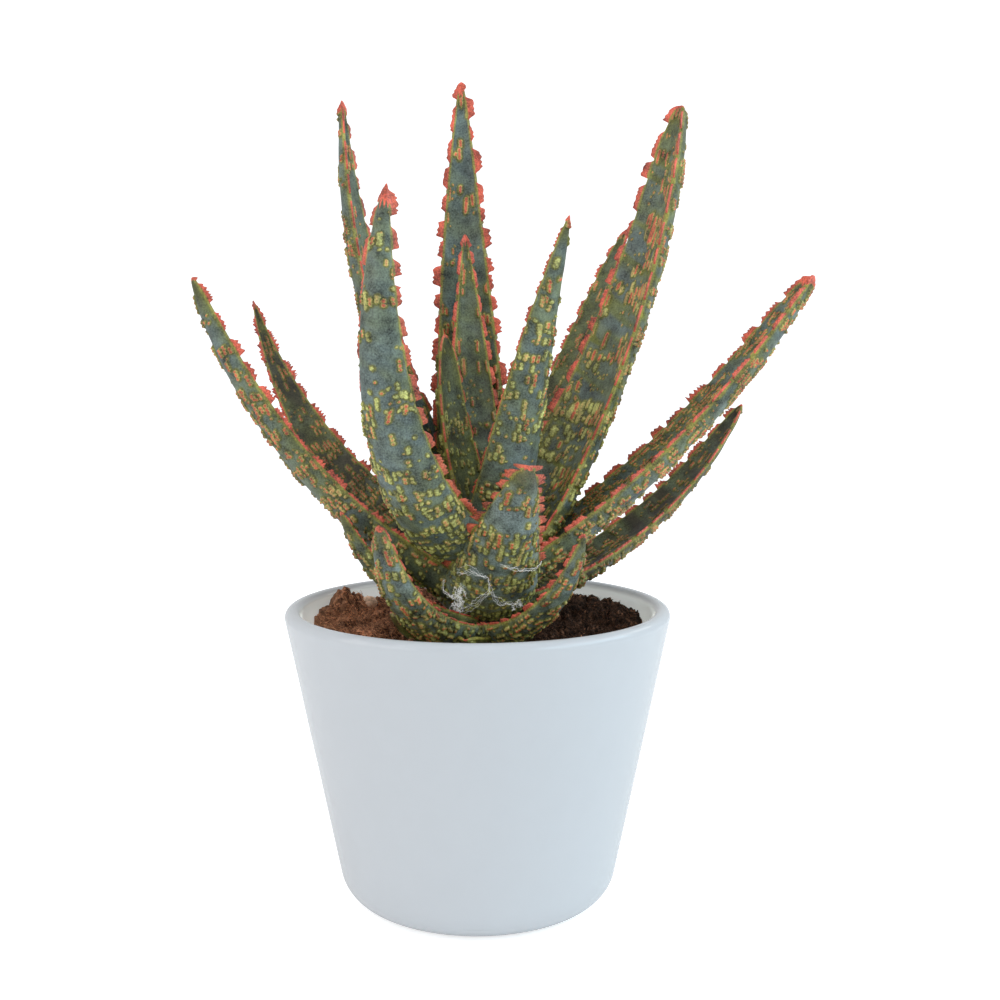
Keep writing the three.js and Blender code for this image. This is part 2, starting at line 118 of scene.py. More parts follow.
LEAVES = (
    leaf("leaf_01_heart", 162, -3, 136, (73, 90), 0, 72, 25, -14, -12, 0.66, BLUNT,
         warts=0.42, warm=0.25, olive=0.45, dark=0.35, rim=0.6, cap=1),
    leaf("leaf_02_heart_back", 106, 7, 130, (77, 86), 0, 115, 28, -6, -4, 0.75, POINTED,
         warts=0.45, warm=0.7, olive=0.35, dark=0.35, rim=0.8, grow=1.25),
    leaf("leaf_03_heart_right", -51, 0, 126, (77, 70), 25, 127, 33, -1, 0, 0.77, POINTED,
         warts=0.5, warm=0.45, olive=0.2, rim=0.55, ragged=1, cap=1.5),
    leaf("leaf_04_tall_left", 171, 9, 128, (58, 90), 0, 170, 33, -15, 8, 0.56, POINTED,
         warts=0.42, warm=0.75, olive=0.15, grow=1.1),
    leaf("leaf_05_tall_back", 103, -2, 125, (70, 89), 0, 180, 37, -11, -4, 0.74, POINTED,
         warts=0.42, warm=1, olive=0.15, cap=4, grow=1.35, rim=1.1),
    leaf("leaf_06_broad_front_left", -128, 18, 130, (32, 112), 43, 154, 38, 8, -2, 0.87, BLUNT,
         warts=0.5, warm=0.42, olive=0.1, bloom=0.2, cap=6),
    leaf("leaf_07_back_right", 54, 0, 118, (54, 53), 0, 165, 26, -3, -9, 0.68, BLUNT,
         warts=0.5, warm=0.7, olive=0.7, dark=0.3, ragged=0.7),
    leaf("leaf_08_tall_right", 18, -8, 113, (54, 82), 0, 193, 40, 20, -8, 0.5, BLUNT,
         warts=0.72, warm=0.62, olive=0.2, patch=1, cap=1, grow=1.55, rim=1.15, flare=1),
    # dark paints the shade on this leaf, which lies behind leaf_12.
    leaf("leaf_09_back_left", 153, -9, 116, (21, 71), 0, 150, 31, -30, -9, 0.82, POINTED,
         warts=0.72, warm=1, olive=0.5, dark=0.9, rim=1.15, ragged=1, cap=3, flare=1),
    leaf("leaf_10_mid_back", 100, 0, 114, (48, 74), 0, 112, 30, 4, 6, 0.74, POINTED),
    leaf("leaf_11_far_right", 1, 0, 114, (32.5, 57), 0, 163, 33, 6, 0, 0.45, BLUNT,
         warts=0.85, warm=1, olive=0.2, ragged=0.5, cap=4, rim=1.25, flare=1),
    leaf("leaf_12_far_left", 182, 9, 110, (28, 72), 0, 156, 32, 8, 12, 0.68, BLUNT,
         warts=0.72, warm=0.9, olive=0.3, dark=0.12, ragged=0.7, cap=1, rim=1.15, flare=1),
    # bloom is high partly for this leaf's pale waxy bands and partly as painted light on its lower part,
    # which faces down into the shade.
    leaf("leaf_13_short_front", -76, 6, 108, (50, 54), 24, 74, 44, -7, -4, 0.81, BLUNT,
         warts=0.75, warm=0.45, olive=0.15, bloom=1, lobes=2, cap=1, dry=0.15, rim=1.45),
    leaf("leaf_14_low_back", 70, 5, 106, (22, 62), 0, 88, 29, 0, 5, 0.74, BLUNT, lobes=2),
    # dark paints the shade that leaf_11 casts on this leaf.
    leaf("leaf_15_low_right", 24, 3, 106, (13, 55), 0, 135, 29, 4, 5, 0.7, BLUNT,
         warts=0.6, warm=0.85, olive=0.4, dark=0.85, ragged=0.7, cap=1, flare=1),
    leaf("leaf_16_low_back_left", 122, -4, 103, (16, 64), 0, 84, 28, 3, 0, 0.76, POINTED, lobes=2),
    leaf("leaf_17_low_left", -162, 3, 99, (16, 71), 0, 70, 26, 5, 5, 0.75, BLUNT,
         warts=0.6, warm=0.5, olive=0.6, dark=0.2, rim=0.7, ragged=1, lobes=2, cap=1),
    leaf("leaf_18_low_front_right", -47, 2, 97.5, (8, 78), 0, 66, 27, -1, 4, 0.83, BLUNT,
         warts=1, warm=0.75, olive=0.2, bloom=0.7, rim=0.9, lobes=2, cap=1, flare=1),
    leaf("leaf_19_low_front_left", -132, 2, 97.5, (0, 86), 0, 74, 31, 3, 2, 0.73, BLUNT,
         warts=1.15, warm=0.5, olive=0.15, bloom=0.9, rim=0.5, lobes=2, cap=1.5),
    # painted light: bloom is set high to lighten this stub, which lies in the shade of leaf_19.
    leaf("leaf_20_basal_left", -160, 0, 94, (-12, 62), 0, 37, 17, 8, 0, 0.5, BLUNT,
         warts=0.15, warm=0.2, olive=0.7, bloom=1, rim=0.2, lobes=2, cap=0, dry=0.3),
    leaf("leaf_21_basal_front", -101, 0, 96, (8, 18), 0, 30, 14, 0, 0, 0.45, BLUNT,
         warts=0.1, warm=0.1, olive=1, rim=0.1, lobes=2, cap=0),
)


# ---- Helpers ----------------------------------------------------------------------------------------


def smoothstep(low, high, value):
    t = np.clip((value - low) / (high - low), 0, 1)
    return t * t * (3 - 2 * t)


def lumps(x, y, size, seed):
    """A smooth random field between -1 and 1 over x and y, with hills about size apart."""
    cells = 64
    heights = np.random.default_rng(seed).uniform(-1, 1, (cells, cells))
    column, row = x / size, y / size
    left, low = np.floor(column).astype(int), np.floor(row).astype(int)
    u, v = smoothstep(0, 1, column - left), smoothstep(0, 1, row - low)
    pick = lambda i, j: heights[(left + i) % cells, (low + j) % cells]
    near = pick(0, 0) * (1 - u) + pick(1, 0) * u
    far = pick(0, 1) * (1 - u) + pick(1, 1) * u
    return near * (1 - v) + far * v


def rings_to_quads(rings, around, closed=True):
    """Quads between successive rings of points, each ring with the same number of points."""
    row = np.arange(rings - 1)[:, None] * around
    here = np.arange(around if closed else around - 1)[None, :]
    after = (here + 1) % around
    quads = np.stack([row + here, row + after, row + around + after, row + around + here], -1)
    return quads.reshape(-1, 4)


def flat_map(corners, rings, around):
    """Where each corner of each face lies on a flat map of rings of points and of the two points that close
    its ends."""
    pole = corners >= rings * around
    ring, column = np.divmod(corners, around)
    over = ~pole & (column == 0) & np.any(~pole & (column == around - 1), 1, keepdims=True)
    column = np.where(over, around, column)
    middle = np.where(pole, 0, column).sum(1, keepdims=True) / (~pole).sum(1, keepdims=True)
    last = np.where(pole, 0, ring).max(1, keepdims=True) > 0
    u = np.where(pole, middle, column) / around
    v = np.where(pole, last, (ring + 0.5) / rings)
    return np.stack([u, v], -1).reshape(-1, 2)


def make_mesh(name, points, quads, triangles=(), values=None):
    """A smooth-shaded object from points in millimetres. values are named numbers, one for each point."""
    mesh = bpy.data.meshes.new(name)
    quads = np.asarray(quads, np.int32).reshape(-1, 4)
    triangles = np.asarray(triangles, np.int32).reshape(-1, 3)
    corners = np.concatenate([quads.ravel(), triangles.ravel()])
    starts = np.concatenate([np.arange(len(quads)) * 4, quads.size + np.arange(len(triangles)) * 3])
    mesh.vertices.add(len(points))
    mesh.vertices.foreach_set("co", (np.asarray(points, np.float32) * MM).ravel())
    mesh.loops.add(len(corners))
    mesh.loops.foreach_set("vertex_index", corners.astype(np.int32))
    mesh.polygons.add(len(starts))
    mesh.polygons.foreach_set("loop_start", starts.astype(np.int32))
    mesh.update(calc_edges=True)
    mesh.shade_smooth()
    for key, numbers in (values or {}).items():
        layer = mesh.attributes.new(key, "FLOAT", "POINT")
        layer.data.foreach_set("value", np.asarray(numbers, np.float32).ravel())
    piece = bpy.data.objects.new(name, mesh)
    bpy.context.scene.collection.objects.link(piece)
    return piece


def end_fans(rings, around):
    """Triangles that close the first and the last ring, each with a point that follows the rings."""
    here = np.arange(around)
    after = (here + 1) % around
    first, last = rings * around, (rings - 1) * around
    start = np.stack([np.full(around, first), after, here], -1)
    end = np.stack([np.full(around, first + 1), last + here, last + after], -1)
    return np.concatenate([start, end])


def make_rings(name, points, ends, values, outwards=True):
    """A closed piece from rings of points and the points that close its first and last ring, with a flat map
    for baking. values are named numbers for the rings' points, each with a pair of numbers for the ends.
    Faces look out of rings that turn left on their way up, and outwards is False where they go down."""
    rings, around = points.shape[:2]
    quads, fans = rings_to_quads(rings, around), end_fans(rings, around)
    if not outwards:
        quads, fans = quads[:, ::-1], fans[:, ::-1]
    numbers = {key: np.append(np.ravel(inner), pair) for key, (inner, pair) in values.items()}
    piece = make_mesh(name, np.concatenate([points.reshape(-1, 3), ends]), quads, fans, numbers)
    places = np.concatenate([flat_map(quads, rings, around), flat_map(fans, rings, around)])
    layer = piece.data.uv_layers.new(name="OFBake")
    layer.data.foreach_set("uv", places.astype(np.float32).ravel())
    return piece


def settle(piece, material, slot, *nodes):
    """Gives a piece its material and hands it to the frame in place of its CAD nodes."""
    piece.data.materials.append(material)
    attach(piece, "root")
    if nodes:
        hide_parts(*nodes)


def ball(rows, around):
    """Points on a unit sphere and the faces between them, for pieces that are then shaped."""
    climb = np.linspace(-math.pi / 2, math.pi / 2, rows + 2)[1:-1]
    turn = np.arange(around) * 2 * math.pi / around
    ring = np.stack(
        [np.outer(np.cos(climb), np.cos(turn)), np.outer(np.cos(climb), np.sin(turn)),
         np.outer(np.sin(climb), np.ones(around))], -1).reshape(-1, 3)
    points = np.concatenate([ring, [[0, 0, -1], [0, 0, 1]]])
    return points, rings_to_quads(rows, around), end_fans(rows, around)


def strands(name, paths, radii, values=None):
    """Thin four-sided strands, one along each path, each with its own radius, in one mesh."""
    points, quads, each = [], [], []
    first, sides = 0, 4
    turn = np.arange(sides) * 2 * math.pi / sides
    for number, (path, radius) in enumerate(zip(paths, radii)):
        ahead = np.gradient(path, axis=0)
        ahead /= np.linalg.norm(ahead, axis=1)[:, None] + 1e-9
        side = np.cross(ahead, (0.13, 0.21, 0.97))
        side /= np.linalg.norm(side, axis=1)[:, None] + 1e-9
        up = np.cross(side, ahead)
        thin = radius * np.sin(np.linspace(0.12, math.pi - 0.12, len(path))) ** 0.4
        spokes = side[:, None] * np.cos(turn)[:, None] + up[:, None] * np.sin(turn)[:, None]
        ring = path[:, None] + spokes * thin[:, None, None]
        points.append(ring.reshape(-1, 3))
        quads.append(rings_to_quads(len(path), sides) + first)
        caps = [first + np.array([3, 2, 1, 0]), first + (len(path) - 1) * sides + np.arange(4)]
        quads.append(np.array(caps))
        first += len(path) * sides
        if values is not None:
            each.append(np.full(len(path) * sides, values[number]))
    shade = {"shade": np.concatenate(each)} if each else None
    return make_mesh(name, np.concatenate(points), np.concatenate(quads), values=shade)


# ---- Materials --------------------------------------------------------------------------------------


def node(tree, kind, place=(0, 0), **settings):
    made = tree.nodes.new(kind)
    made.location = place
    for key, value in settings.items():
        setattr(made, key, value)
    return made


def new_material(name):
    material = bpy.data.materials.new(name)
    material.use_nodes = True
    tree = material.node_tree
    return material, tree, tree.nodes["Principled BSDF"]


def attribute(tree, name):
    return node(tree, "ShaderNodeAttribute", attribute_name=name).outputs["Fac"]


def mixed(tree, share, first, second, blend="MIX"):
    """A colour between first and second. Each is a socket or a colour."""
    made = node(tree, "ShaderNodeMix", data_type="RGBA", blend_type=blend)
    for socket, value in ((made.inputs["Factor"], share), (made.inputs[6], first), (made.inputs[7], second)):
        if isinstance(value, bpy.types.NodeSocket):
            tree.links.new(value, socket)
        elif isinstance(value, (tuple, list)) or hasattr(value, "r"):
            socket.default_value = (*tuple(value)[:3], 1)
        else:
            socket.default_value = value
    return made.outputs[2]


def ranged(tree, value, low, high, to_low=0.0, to_high=1.0):
    """A value carried smoothly from one range to another."""
    made = node(tree, "ShaderNodeMapRange", interpolation_type="SMOOTHSTEP")
    tree.links.new(value, made.inputs["Value"])
    for key, number in (("From Min", low), ("From Max", high), ("To Min", to_low), ("To Max", to_high)):
        made.inputs[key].default_value = number
    return made.outputs["Result"]


def maths(tree, operation, first, second=None):
    made = node(tree, "ShaderNodeMath", operation=operation)
    for socket, value in zip(made.inputs, (first, second)):
        if isinstance(value, bpy.types.NodeSocket):
            tree.links.new(value, socket)
        elif value is not None:
            socket.default_value = value
    return made.outputs[0]


def grain_group():
    """Mottled grain: a value round 1 that darkens and lightens a colour, and a height for a bump."""
    name = "Mottled Grain"
    if name in bpy.data.node_groups:
        return bpy.data.node_groups[name]
    group = bpy.data.node_groups.new(name, "ShaderNodeTree")
    face = group.interface
    for label, kind, default in (("Grain Size", "NodeSocketFloat", 1.0), ("Amount", "NodeSocketFloat", 0.2)):
        face.new_socket(label, in_out="INPUT", socket_type=kind).default_value = default
    face.new_socket("Tone", in_out="OUTPUT", socket_type="NodeSocketFloat")
    face.new_socket("Height", in_out="OUTPUT", socket_type="NodeSocketFloat")
    given = node(group, "NodeGroupInput", (-700, 0))
    out = node(group, "NodeGroupOutput", (500, 0))
    place = node(group, "ShaderNodeTexCoord", (-700, 200)).outputs["Object"]
    per_metre = maths(group, "DIVIDE", 1 / MM, given.outputs["Grain Size"])
    fine = node(group, "ShaderNodeTexNoise", (-300, 150))
    fine.inputs["Detail"].default_value = 3
    broad = node(group, "ShaderNodeTexNoise", (-300, -150))
    broad.inputs["Detail"].default_value = 2
    group.links.new(place, fine.inputs["Vector"])
    group.links.new(place, broad.inputs["Vector"])
    group.links.new(per_metre, fine.inputs["Scale"])
    group.links.new(maths(group, "MULTIPLY", per_metre, 0.12), broad.inputs["Scale"])
    both = maths(group, "ADD", fine.outputs["Fac"], broad.outputs["Fac"])
    away = maths(group, "SUBTRACT", both, 1.0)
    swing = maths(group, "MULTIPLY", away, given.outputs["Amount"])
    group.links.new(maths(group, "ADD", swing, 1.0), out.inputs["Tone"])
    group.links.new(fine.outputs["Fac"], out.inputs["Height"])
    return group


def grain(tree, size, amount):
    made = node(tree, "ShaderNodeGroup", node_tree=grain_group())
    made.inputs["Grain Size"].default_value = size
    made.inputs["Amount"].default_value = amount
    return made


def toned(tree, colour, tone):
    """A colour made darker or lighter by a tone round 1."""
    grey = node(tree, "ShaderNodeCombineColor")
    for socket in grey.inputs:
        tree.links.new(tone, socket)
    return mixed(tree, 1.0, colour, grey.outputs["Color"], "MULTIPLY")


def bumped(tree, shader, height, distance, strength):
    made = node(tree, "ShaderNodeBump")
    made.inputs["Strength"].default_value = strength
    made.inputs["Distance"].default_value = distance * MM
    tree.links.new(height, made.inputs["Height"])
    tree.links.new(made.outputs["Normal"], shader.inputs["Normal"])


def leaf_material(look):
    material, tree, shader = new_material("aloe_skin")
    wart, warm, rim, seam = (attribute(tree, key) for key in ("wart", "warm", "rim", "seam"))
    olive, dark, pale, dry = (attribute(tree, key) for key in ("olive", "dark", "pale", "dry"))
    mottle = grain(tree, 2.2, 0.6)
    fine = grain(tree, 0.6, 2.3)
    rough = maths(tree, "SUBTRACT", fine.outputs["Height"], 0.5)
    wart = maths(tree, "ADD", wart, maths(tree, "MULTIPLY", rough, 0.7))
    # Pale wax over the skin; on shaded leaves it is also painted light.
    body = mixed(tree, attribute(tree, "bloom"), look.body, look.bloom)
    body = mixed(tree, olive, body, look.olive)
    # painted shade on the skin
    body = mixed(tree, dark, body, look.dark)
    body = mixed(tree, pale, body, look.root)
    body = toned(tree, body, mottle.outputs["Tone"])
    # wart_edge darkens the skin round the foot of each wart: partly its olive colour, partly painted shade.
    body = mixed(tree, ranged(tree, wart, -0.9, 0.05, 0, 0.75), body, look.wart_edge)
    ring = mixed(tree, ranged(tree, wart, 0.0, 0.5), look.wart_edge, look.wart)
    heart = maths(tree, "MULTIPLY", ranged(tree, wart, 0.2, 0.7), warm)
    bead = mixed(tree, heart, ring, look.wart_heart)
    # painted shade: warts on shaded skin are darkened as well.
    bead = mixed(tree, maths(tree, "MULTIPLY", dark, 0.45), bead, look.dark)
    colour = mixed(tree, ranged(tree, wart, -0.2, 0.25), body, bead)
    colour = mixed(tree, seam, colour, look.seam)
    coral = mixed(tree, warm, look.rim_dull, look.rim)
    colour = mixed(tree, ranged(tree, rim, 0.15, 0.5), colour, coral)
    colour = mixed(tree, dry, colour, look.dry)
    colour = toned(tree, colour, fine.outputs["Tone"])
    tree.links.new(colour, shader.inputs["Base Color"])
    tree.links.new(ranged(tree, mottle.outputs["Height"], 0.3, 0.7, 0.55, 0.4), shader.inputs["Roughness"])
    bumped(tree, shader, fine.outputs["Height"], 0.2, 0.6)
    return material


def glaze_material(look):
    material, tree, shader = new_material("white_glaze")
    bare, inside = attribute(tree, "bare"), attribute(tree, "inside")
    cloud = grain(tree, 9, 0.03)
    # painted light: the inner wall takes a lighter, greener glaze than the outside.
    colour = mixed(tree, inside, look.glaze, look.inside)
    colour = toned(tree, colour, cloud.outputs["Tone"])
    place = node(tree, "ShaderNodeTexCoord").outputs["Object"]
    pits = node(tree, "ShaderNodeTexVoronoi")
    pits.inputs["Scale"].default_value = 90
    tree.links.new(place, pits.inputs["Vector"])
    lot = node(tree, "ShaderNodeSeparateColor")
    tree.links.new(pits.outputs["Color"], lot.inputs["Color"])
    chosen = ranged(tree, lot.outputs["Red"], 0.93, 0.95)
    dot = maths(tree, "MULTIPLY", ranged(tree, pits.outputs["Distance"], 0.03, 0.055, 1, 0), chosen)
    colour = mixed(tree, maths(tree, "MULTIPLY", dot, 0.5), colour, look.pit)
    colour = mixed(tree, bare, colour, look.bare)
    tree.links.new(colour, shader.inputs["Base Color"])
    tree.links.new(ranged(tree, bare, 0.3, 0.7, 0.1, 0.75), shader.inputs["Roughness"])
    shader.inputs["IOR"].default_value = 1.52
    # painted light: the inner wall glows, standing in for light passed on from wall to wall.
    tree.links.new(mixed(tree, inside, (0, 0, 0), look.inside), shader.inputs["Emission Color"])
    shader.inputs["Emission Strength"].default_value = look.painted_inside_light
    bumped(tree, shader, cloud.outputs["Height"], 0.05, 0.25)
    return material


def soil_material(look):
    material, tree, shader = new_material("damp_coir")
    shade = attribute(tree, "shade")
    clod = grain(tree, 2.4, 0.9)
    fine = grain(tree, 0.4, 1.6)
    colour = mixed(tree, shade, look.dark, look.light)
    colour = toned(tree, colour, clod.outputs["Tone"])
    colour = toned(tree, colour, fine.outputs["Tone"])
    tree.links.new(colour, shader.inputs["Base Color"])
    tree.links.new(ranged(tree, fine.outputs["Height"], 0.2, 0.8, 0.95, 0.8), shader.inputs["Roughness"])
    shader.inputs["Specular IOR Level"].default_value = 0.25
    bumped(tree, shader, fine.outputs["Height"], 0.5, 0.7)
    return material


def stone_material(look):
    material, tree, shader = new_material("brown_stone")
    coarse = grain(tree, 0.9, 2)
    tree.links.new(toned(tree, look.stone, coarse.outputs["Tone"]), shader.inputs["Base Color"])
    tree.links.new(ranged(tree, coarse.outputs["Height"], 0.3, 0.7, 0.85, 0.6), shader.inputs["Roughness"])
    bumped(tree, shader, coarse.outputs["Height"], 0.3, 0.5)
    return material


def stem_material(look):
    material, tree, shader = new_material("stem_skin")
    scar = attribute(tree, "scar")
    coarse = grain(tree, 1.8, 0.6)
    colour = toned(tree, mixed(tree, scar, look.stem, look.scar), coarse.outputs["Tone"])
    tree.links.new(colour, shader.inputs["Base Color"])
    tree.links.new(ranged(tree, coarse.outputs["Height"], 0.3, 0.7, 0.8, 0.55), shader.inputs["Roughness"])
    bumped(tree, shader, coarse.outputs["Height"], 0.3, 0.5)
    return material


def thread_material(look):
    material, tree, shader = new_material("cobweb")
    fine = grain(tree, 1.5, 0.3)
    tree.links.new(toned(tree, look.thread, fine.outputs["Tone"]), shader.inputs["Base Color"])
    tree.links.new(ranged(tree, fine.outputs["Height"], 0.2, 0.8, 0.7, 0.9), shader.inputs["Roughness"])
    # painted light: the threads glow white, though they are no lamp.
    shader.inputs["Emission Color"].default_value = (1, 1, 1, 1)
    shader.inputs["Emission Strength"].default_value = look.painted_glow
    return material


# ---- Pot --------------------------------------------------------------------------------------------


def wall_radius(height):
    return WALL_FOOT_RADIUS + height * math.tan(WALL_LEAN)


def arc(radius, height, rounding, start, end, steps):
    angle = np.linspace(start, end, steps)
    return np.stack([radius + rounding * np.cos(angle), height + rounding * np.sin(angle)], -1)


def line(start, end, steps):
    return np.linspace(start, end, steps + 2)[1:-1]


def inner_foot(gap):
    height = FLOOR_THICKNESS + INNER_FOOT_ROUNDING + gap
    radius = wall_radius(height) - WALL_THICKNESS - (gap + INNER_FOOT_ROUNDING) / math.cos(WALL_LEAN)
    return arc(radius, height, INNER_FOOT_ROUNDING, -WALL_LEAN, -math.pi / 2, 10)


def pot_profile(recess):
    """Radius and height from the middle of the underside round the lip to the middle of the floor."""
    foot_radius = WALL_FOOT_RADIUS - FOOT_ROUNDING * (1 - math.sin(WALL_LEAN)) / math.cos(WALL_LEAN)
    foot = arc(foot_radius, FOOT_ROUNDING, FOOT_ROUNDING, -math.pi / 2, -WALL_LEAN, 18)
    lip_rounding = WALL_THICKNESS * math.cos(WALL_LEAN) / 2
    lip_height = POT_HEIGHT - lip_rounding
    lip_radius = wall_radius(lip_height) - WALL_THICKNESS / 2
    lip = arc(lip_radius, lip_height, lip_rounding, -WALL_LEAN, math.pi - WALL_LEAN, 22)
    inner = inner_foot(0)
    ring = foot_radius - 4
    under = np.array([[ring - 1.2, recess], [ring - 0.4, recess * 0.3], [ring, 0]])
    return np.concatenate([
        line((0, recess), (ring - 1.2, recess), 4), under, foot, line(foot[-1], lip[0], 44), lip,
        line(lip[-1], inner[0], 24), inner, line(inner[-1], (0, FLOOR_THICKNESS), 6),
    ])


UNDERSIDE_STEPS = 8  # points of the profile that lie on the bare underside


def build_pot(settings):
    profile = pot_profile(settings.recess / MM)
    sides = settings.sides
    turn = np.arange(sides) * 2 * math.pi / sides
    radius = profile[:, 0, None] * np.ones(sides)
    height = profile[:, 1, None] * np.ones(sides)
    uneven = settings.uneven / MM
    wave = lumps(turn[None, :] * 64 * 2 / math.pi / 8 + height / 60, height, 17, 5)
    radius = radius + uneven * wave * smoothstep(4, 20, radius)
    points = np.stack([radius * np.cos(turn), radius * np.sin(turn), height], -1)
    ends = [[0, 0, settings.recess / MM], [0, 0, FLOOR_THICKNESS]]
    step = np.arange(len(profile))
    lip_top = int(np.argmax(profile[:, 1]))
    bare = (step < UNDERSIDE_STEPS).astype(float)
    # inside marks the inner wall, which gets the painted light of the glaze.
    inside = smoothstep(lip_top + 4, lip_top + 12, step)
    values = {"bare": (np.repeat(bare, sides), [1, 0]), "inside": (np.repeat(inside, sides), [0, 1])}
    piece = make_rings("pot_glazed", points, ends, values)
    settle(piece, glaze_material(settings), "pot", "pot")


# ---- Soil, pebble and stem --------------------------------------------------------------------------


def soil_height(x, y):
    radius = wall_radius(SOIL_FRONT) - WALL_THICKNESS - CLEARANCE / math.cos(WALL_LEAN)
    out = np.minimum(1, np.hypot(x, y) / radius)
    back = np.maximum(0, 0.5 + 0.5 * y / radius)
    crown = np.hypot(x - STEM_X, y) / SOIL_CROWN_RADIUS
    height = SOIL_FRONT + SOIL_BACK_RISE * back ** 1.3 * out ** 0.7
    height = height - SOIL_CROWN_DIP * np.exp(-(crown ** 2))
    height = height + SOIL_LUMP * np.sin(0.31 * x + 1.3) * np.cos(0.27 * y + 0.5)
    height = height + 0.6 * SOIL_LUMP * np.sin(0.52 * x - 0.37 * y)
    for heap_x, heap_y, reach, rise in SOIL_HEAPS:
        away = np.hypot(x - heap_x, y - heap_y) / reach
        height = height + rise * np.exp(-(away ** 2))
    return height


def rough_soil(x, y):
    """The soil's surface with its clods, in millimetres."""
    clods = 1.6 * lumps(x, y, 7.5, 11) + 1.1 * np.abs(lumps(x, y, 3.4, 12)) + 0.9 * lumps(x, y, 1.1, 13)
    pits = np.minimum(0, lumps(x, y, 5.3, 14) + 0.2)
    return soil_height(x, y) + clods - 0.6 + 2.6 * pits


SKIRT_SHADE = 0.2  # of the soil's sides and underside, which the pot hides


def build_soil(settings):
    around, rows = settings.around, settings.rows
    turn = np.arange(around) * 2 * math.pi / around
    share = np.linspace(1 / rows, 1, rows)[:, None] ** 0.85
    edge = wall_radius(SOIL_FRONT) - WALL_THICKNESS
    for _ in range(3):
        top = rough_soil(edge * np.cos(turn), edge * np.sin(turn))
        edge = WALL_FOOT_RADIUS + top * math.tan(WALL_LEAN) - WALL_THICKNESS - CLEARANCE
    x, y = share * edge * np.cos(turn), share * edge * np.sin(turn)
    z = rough_soil(x, y)
    shade = 0.6 * soil_shade(x, y) + 0.3 * lumps(x, y, 0.9, 16)
    foot = inner_foot(CLEARANCE)
    skirt = np.stack([foot[:, 0, None] * np.cos(turn), foot[:, 0, None] * np.sin(turn),
                      foot[:, 1, None] * np.ones(around)], -1)
    ends = [[0, 0, float(rough_soil(np.zeros(1), np.zeros(1))[0])], [0, 0, FLOOR_THICKNESS + CLEARANCE]]
    shade = np.concatenate([shade, np.full(skirt.shape[:2], SKIRT_SHADE)])
    piece = make_rings("soil_bed", np.concatenate([np.stack([x, y, z], -1), skirt]), ends,
                       {"shade": (shade, [SKIRT_SHADE] * 2)}, outwards=False)
    material = soil_material(settings)
    settle(piece, material, "soil", "soil")
    settle(build_chips(settings.chips), material, "soil")
    settle(build_fibres(settings.fibres), material, "soil")


def scattered(count, random, margin):
    """Places on the soil, in millimetres, clear of the stem and of the wall."""
    reach = wall_radius(SOIL_FRONT) - WALL_THICKNESS - margin
    out = reach * np.sqrt(random.uniform((STEM_RADIUS / reach) ** 2, 1, count))
    turn = random.uniform(0, 2 * math.pi, count)
    return out * np.cos(turn), out * np.sin(turn)


def soil_shade(x, y):
    """How light the soil is: lightest on the heap at the left and darkest at the right, and darker in the
    hollows, which is painted shade.
    """
    # The last term darkens the hollows of rough_soil: painted shade.
    shade = 0.1 + 0.16 * lumps(x, y, 6, 15) - x / 85 + 0.4 * np.minimum(0, lumps(x, y, 5.3, 14) + 0.2)
    return np.maximum(0.05, shade)


LONGEST_CHIP = 3.6


def build_chips(count):
    """Splinters and crumbs of coir lying loose on the soil, each with six corners."""
    random = np.random.default_rng(21)
    x, y = scattered(count, random, 2)
    corners = np.array([[1, 0, 0], [0, 1, 0], [-1, 0, 0], [0, -1, 0], [0, 0, 1], [0, 0, -1]], float)
    faces = np.array([[0, 1, 4], [1, 2, 4], [2, 3, 4], [3, 0, 4], [1, 0, 5], [2, 1, 5], [3, 2, 5], [0, 3, 5]])
    thick = random.uniform(0.12, 0.45, count)
    longer, flatter = random.gamma(1.3, 0.32, count), random.uniform(0.6, 1, count)
    half = np.minimum(np.stack([thick + longer, thick, thick * flatter], -1), LONGEST_CHIP / 2)
    local = (corners + random.uniform(-0.3, 0.3, (count, 6, 3))) * half[:, None]
    turn, tilt = random.uniform(0, 2 * math.pi, (count, 1)), random.normal(0, 0.45, (count, 1))
    high = local[..., 2] * np.cos(tilt) + local[..., 0] * np.sin(tilt)
    flat = local[..., 0] * np.cos(tilt) - local[..., 2] * np.sin(tilt)
    across = flat * np.cos(turn) - local[..., 1] * np.sin(turn)
    along = flat * np.sin(turn) + local[..., 1] * np.cos(turn)
    lift = (rough_soil(x, y) + thick * 0.3)[:, None]
    points = np.stack([x[:, None] + across, y[:, None] + along, lift + high], -1)
    step = (np.arange(count) * 6)[:, None, None]
    shade = np.repeat(soil_shade(x, y) * np.exp(random.normal(0.35, 0.9, count)), 6)
    return make_mesh("soil_chips", points.reshape(-1, 3), (), (faces[None] + step).reshape(-1, 3),
                     {"shade": np.clip(shade, 0, 2)})


def build_fibres(count):
    """Coir fibres lying on the soil and rising a little out of it."""
    random = np.random.default_rng(22)
    x, y = scattered(count, random, 6)
    steps = 7
    paths = []
    for start_x, start_y in zip(x, y):
        heading = random.uniform(0, 2 * math.pi) + np.cumsum(random.normal(0, 0.35, steps))
        stride = random.uniform(1.5, 9) / steps
        path_x = start_x + np.cumsum(stride * np.cos(heading))
        path_y = start_y + np.cumsum(stride * np.sin(heading))
        inwards = np.minimum(1, (wall_radius(SOIL_FRONT) - WALL_THICKNESS - 1.5) / np.hypot(path_x, path_y))
        path_x, path_y = path_x * inwards, path_y * inwards
        rise = np.linspace(0, 1, steps) * random.uniform(-0.4, 2.2) + 0.2
        paths.append(np.stack([path_x, path_y, rough_soil(path_x, path_y) + rise], -1))
    radii = random.uniform(0.04, 0.11, count)
    values = soil_shade(x, y) * random.uniform(0.4, 3, count)
    return strands("soil_fibres", paths, radii, values)


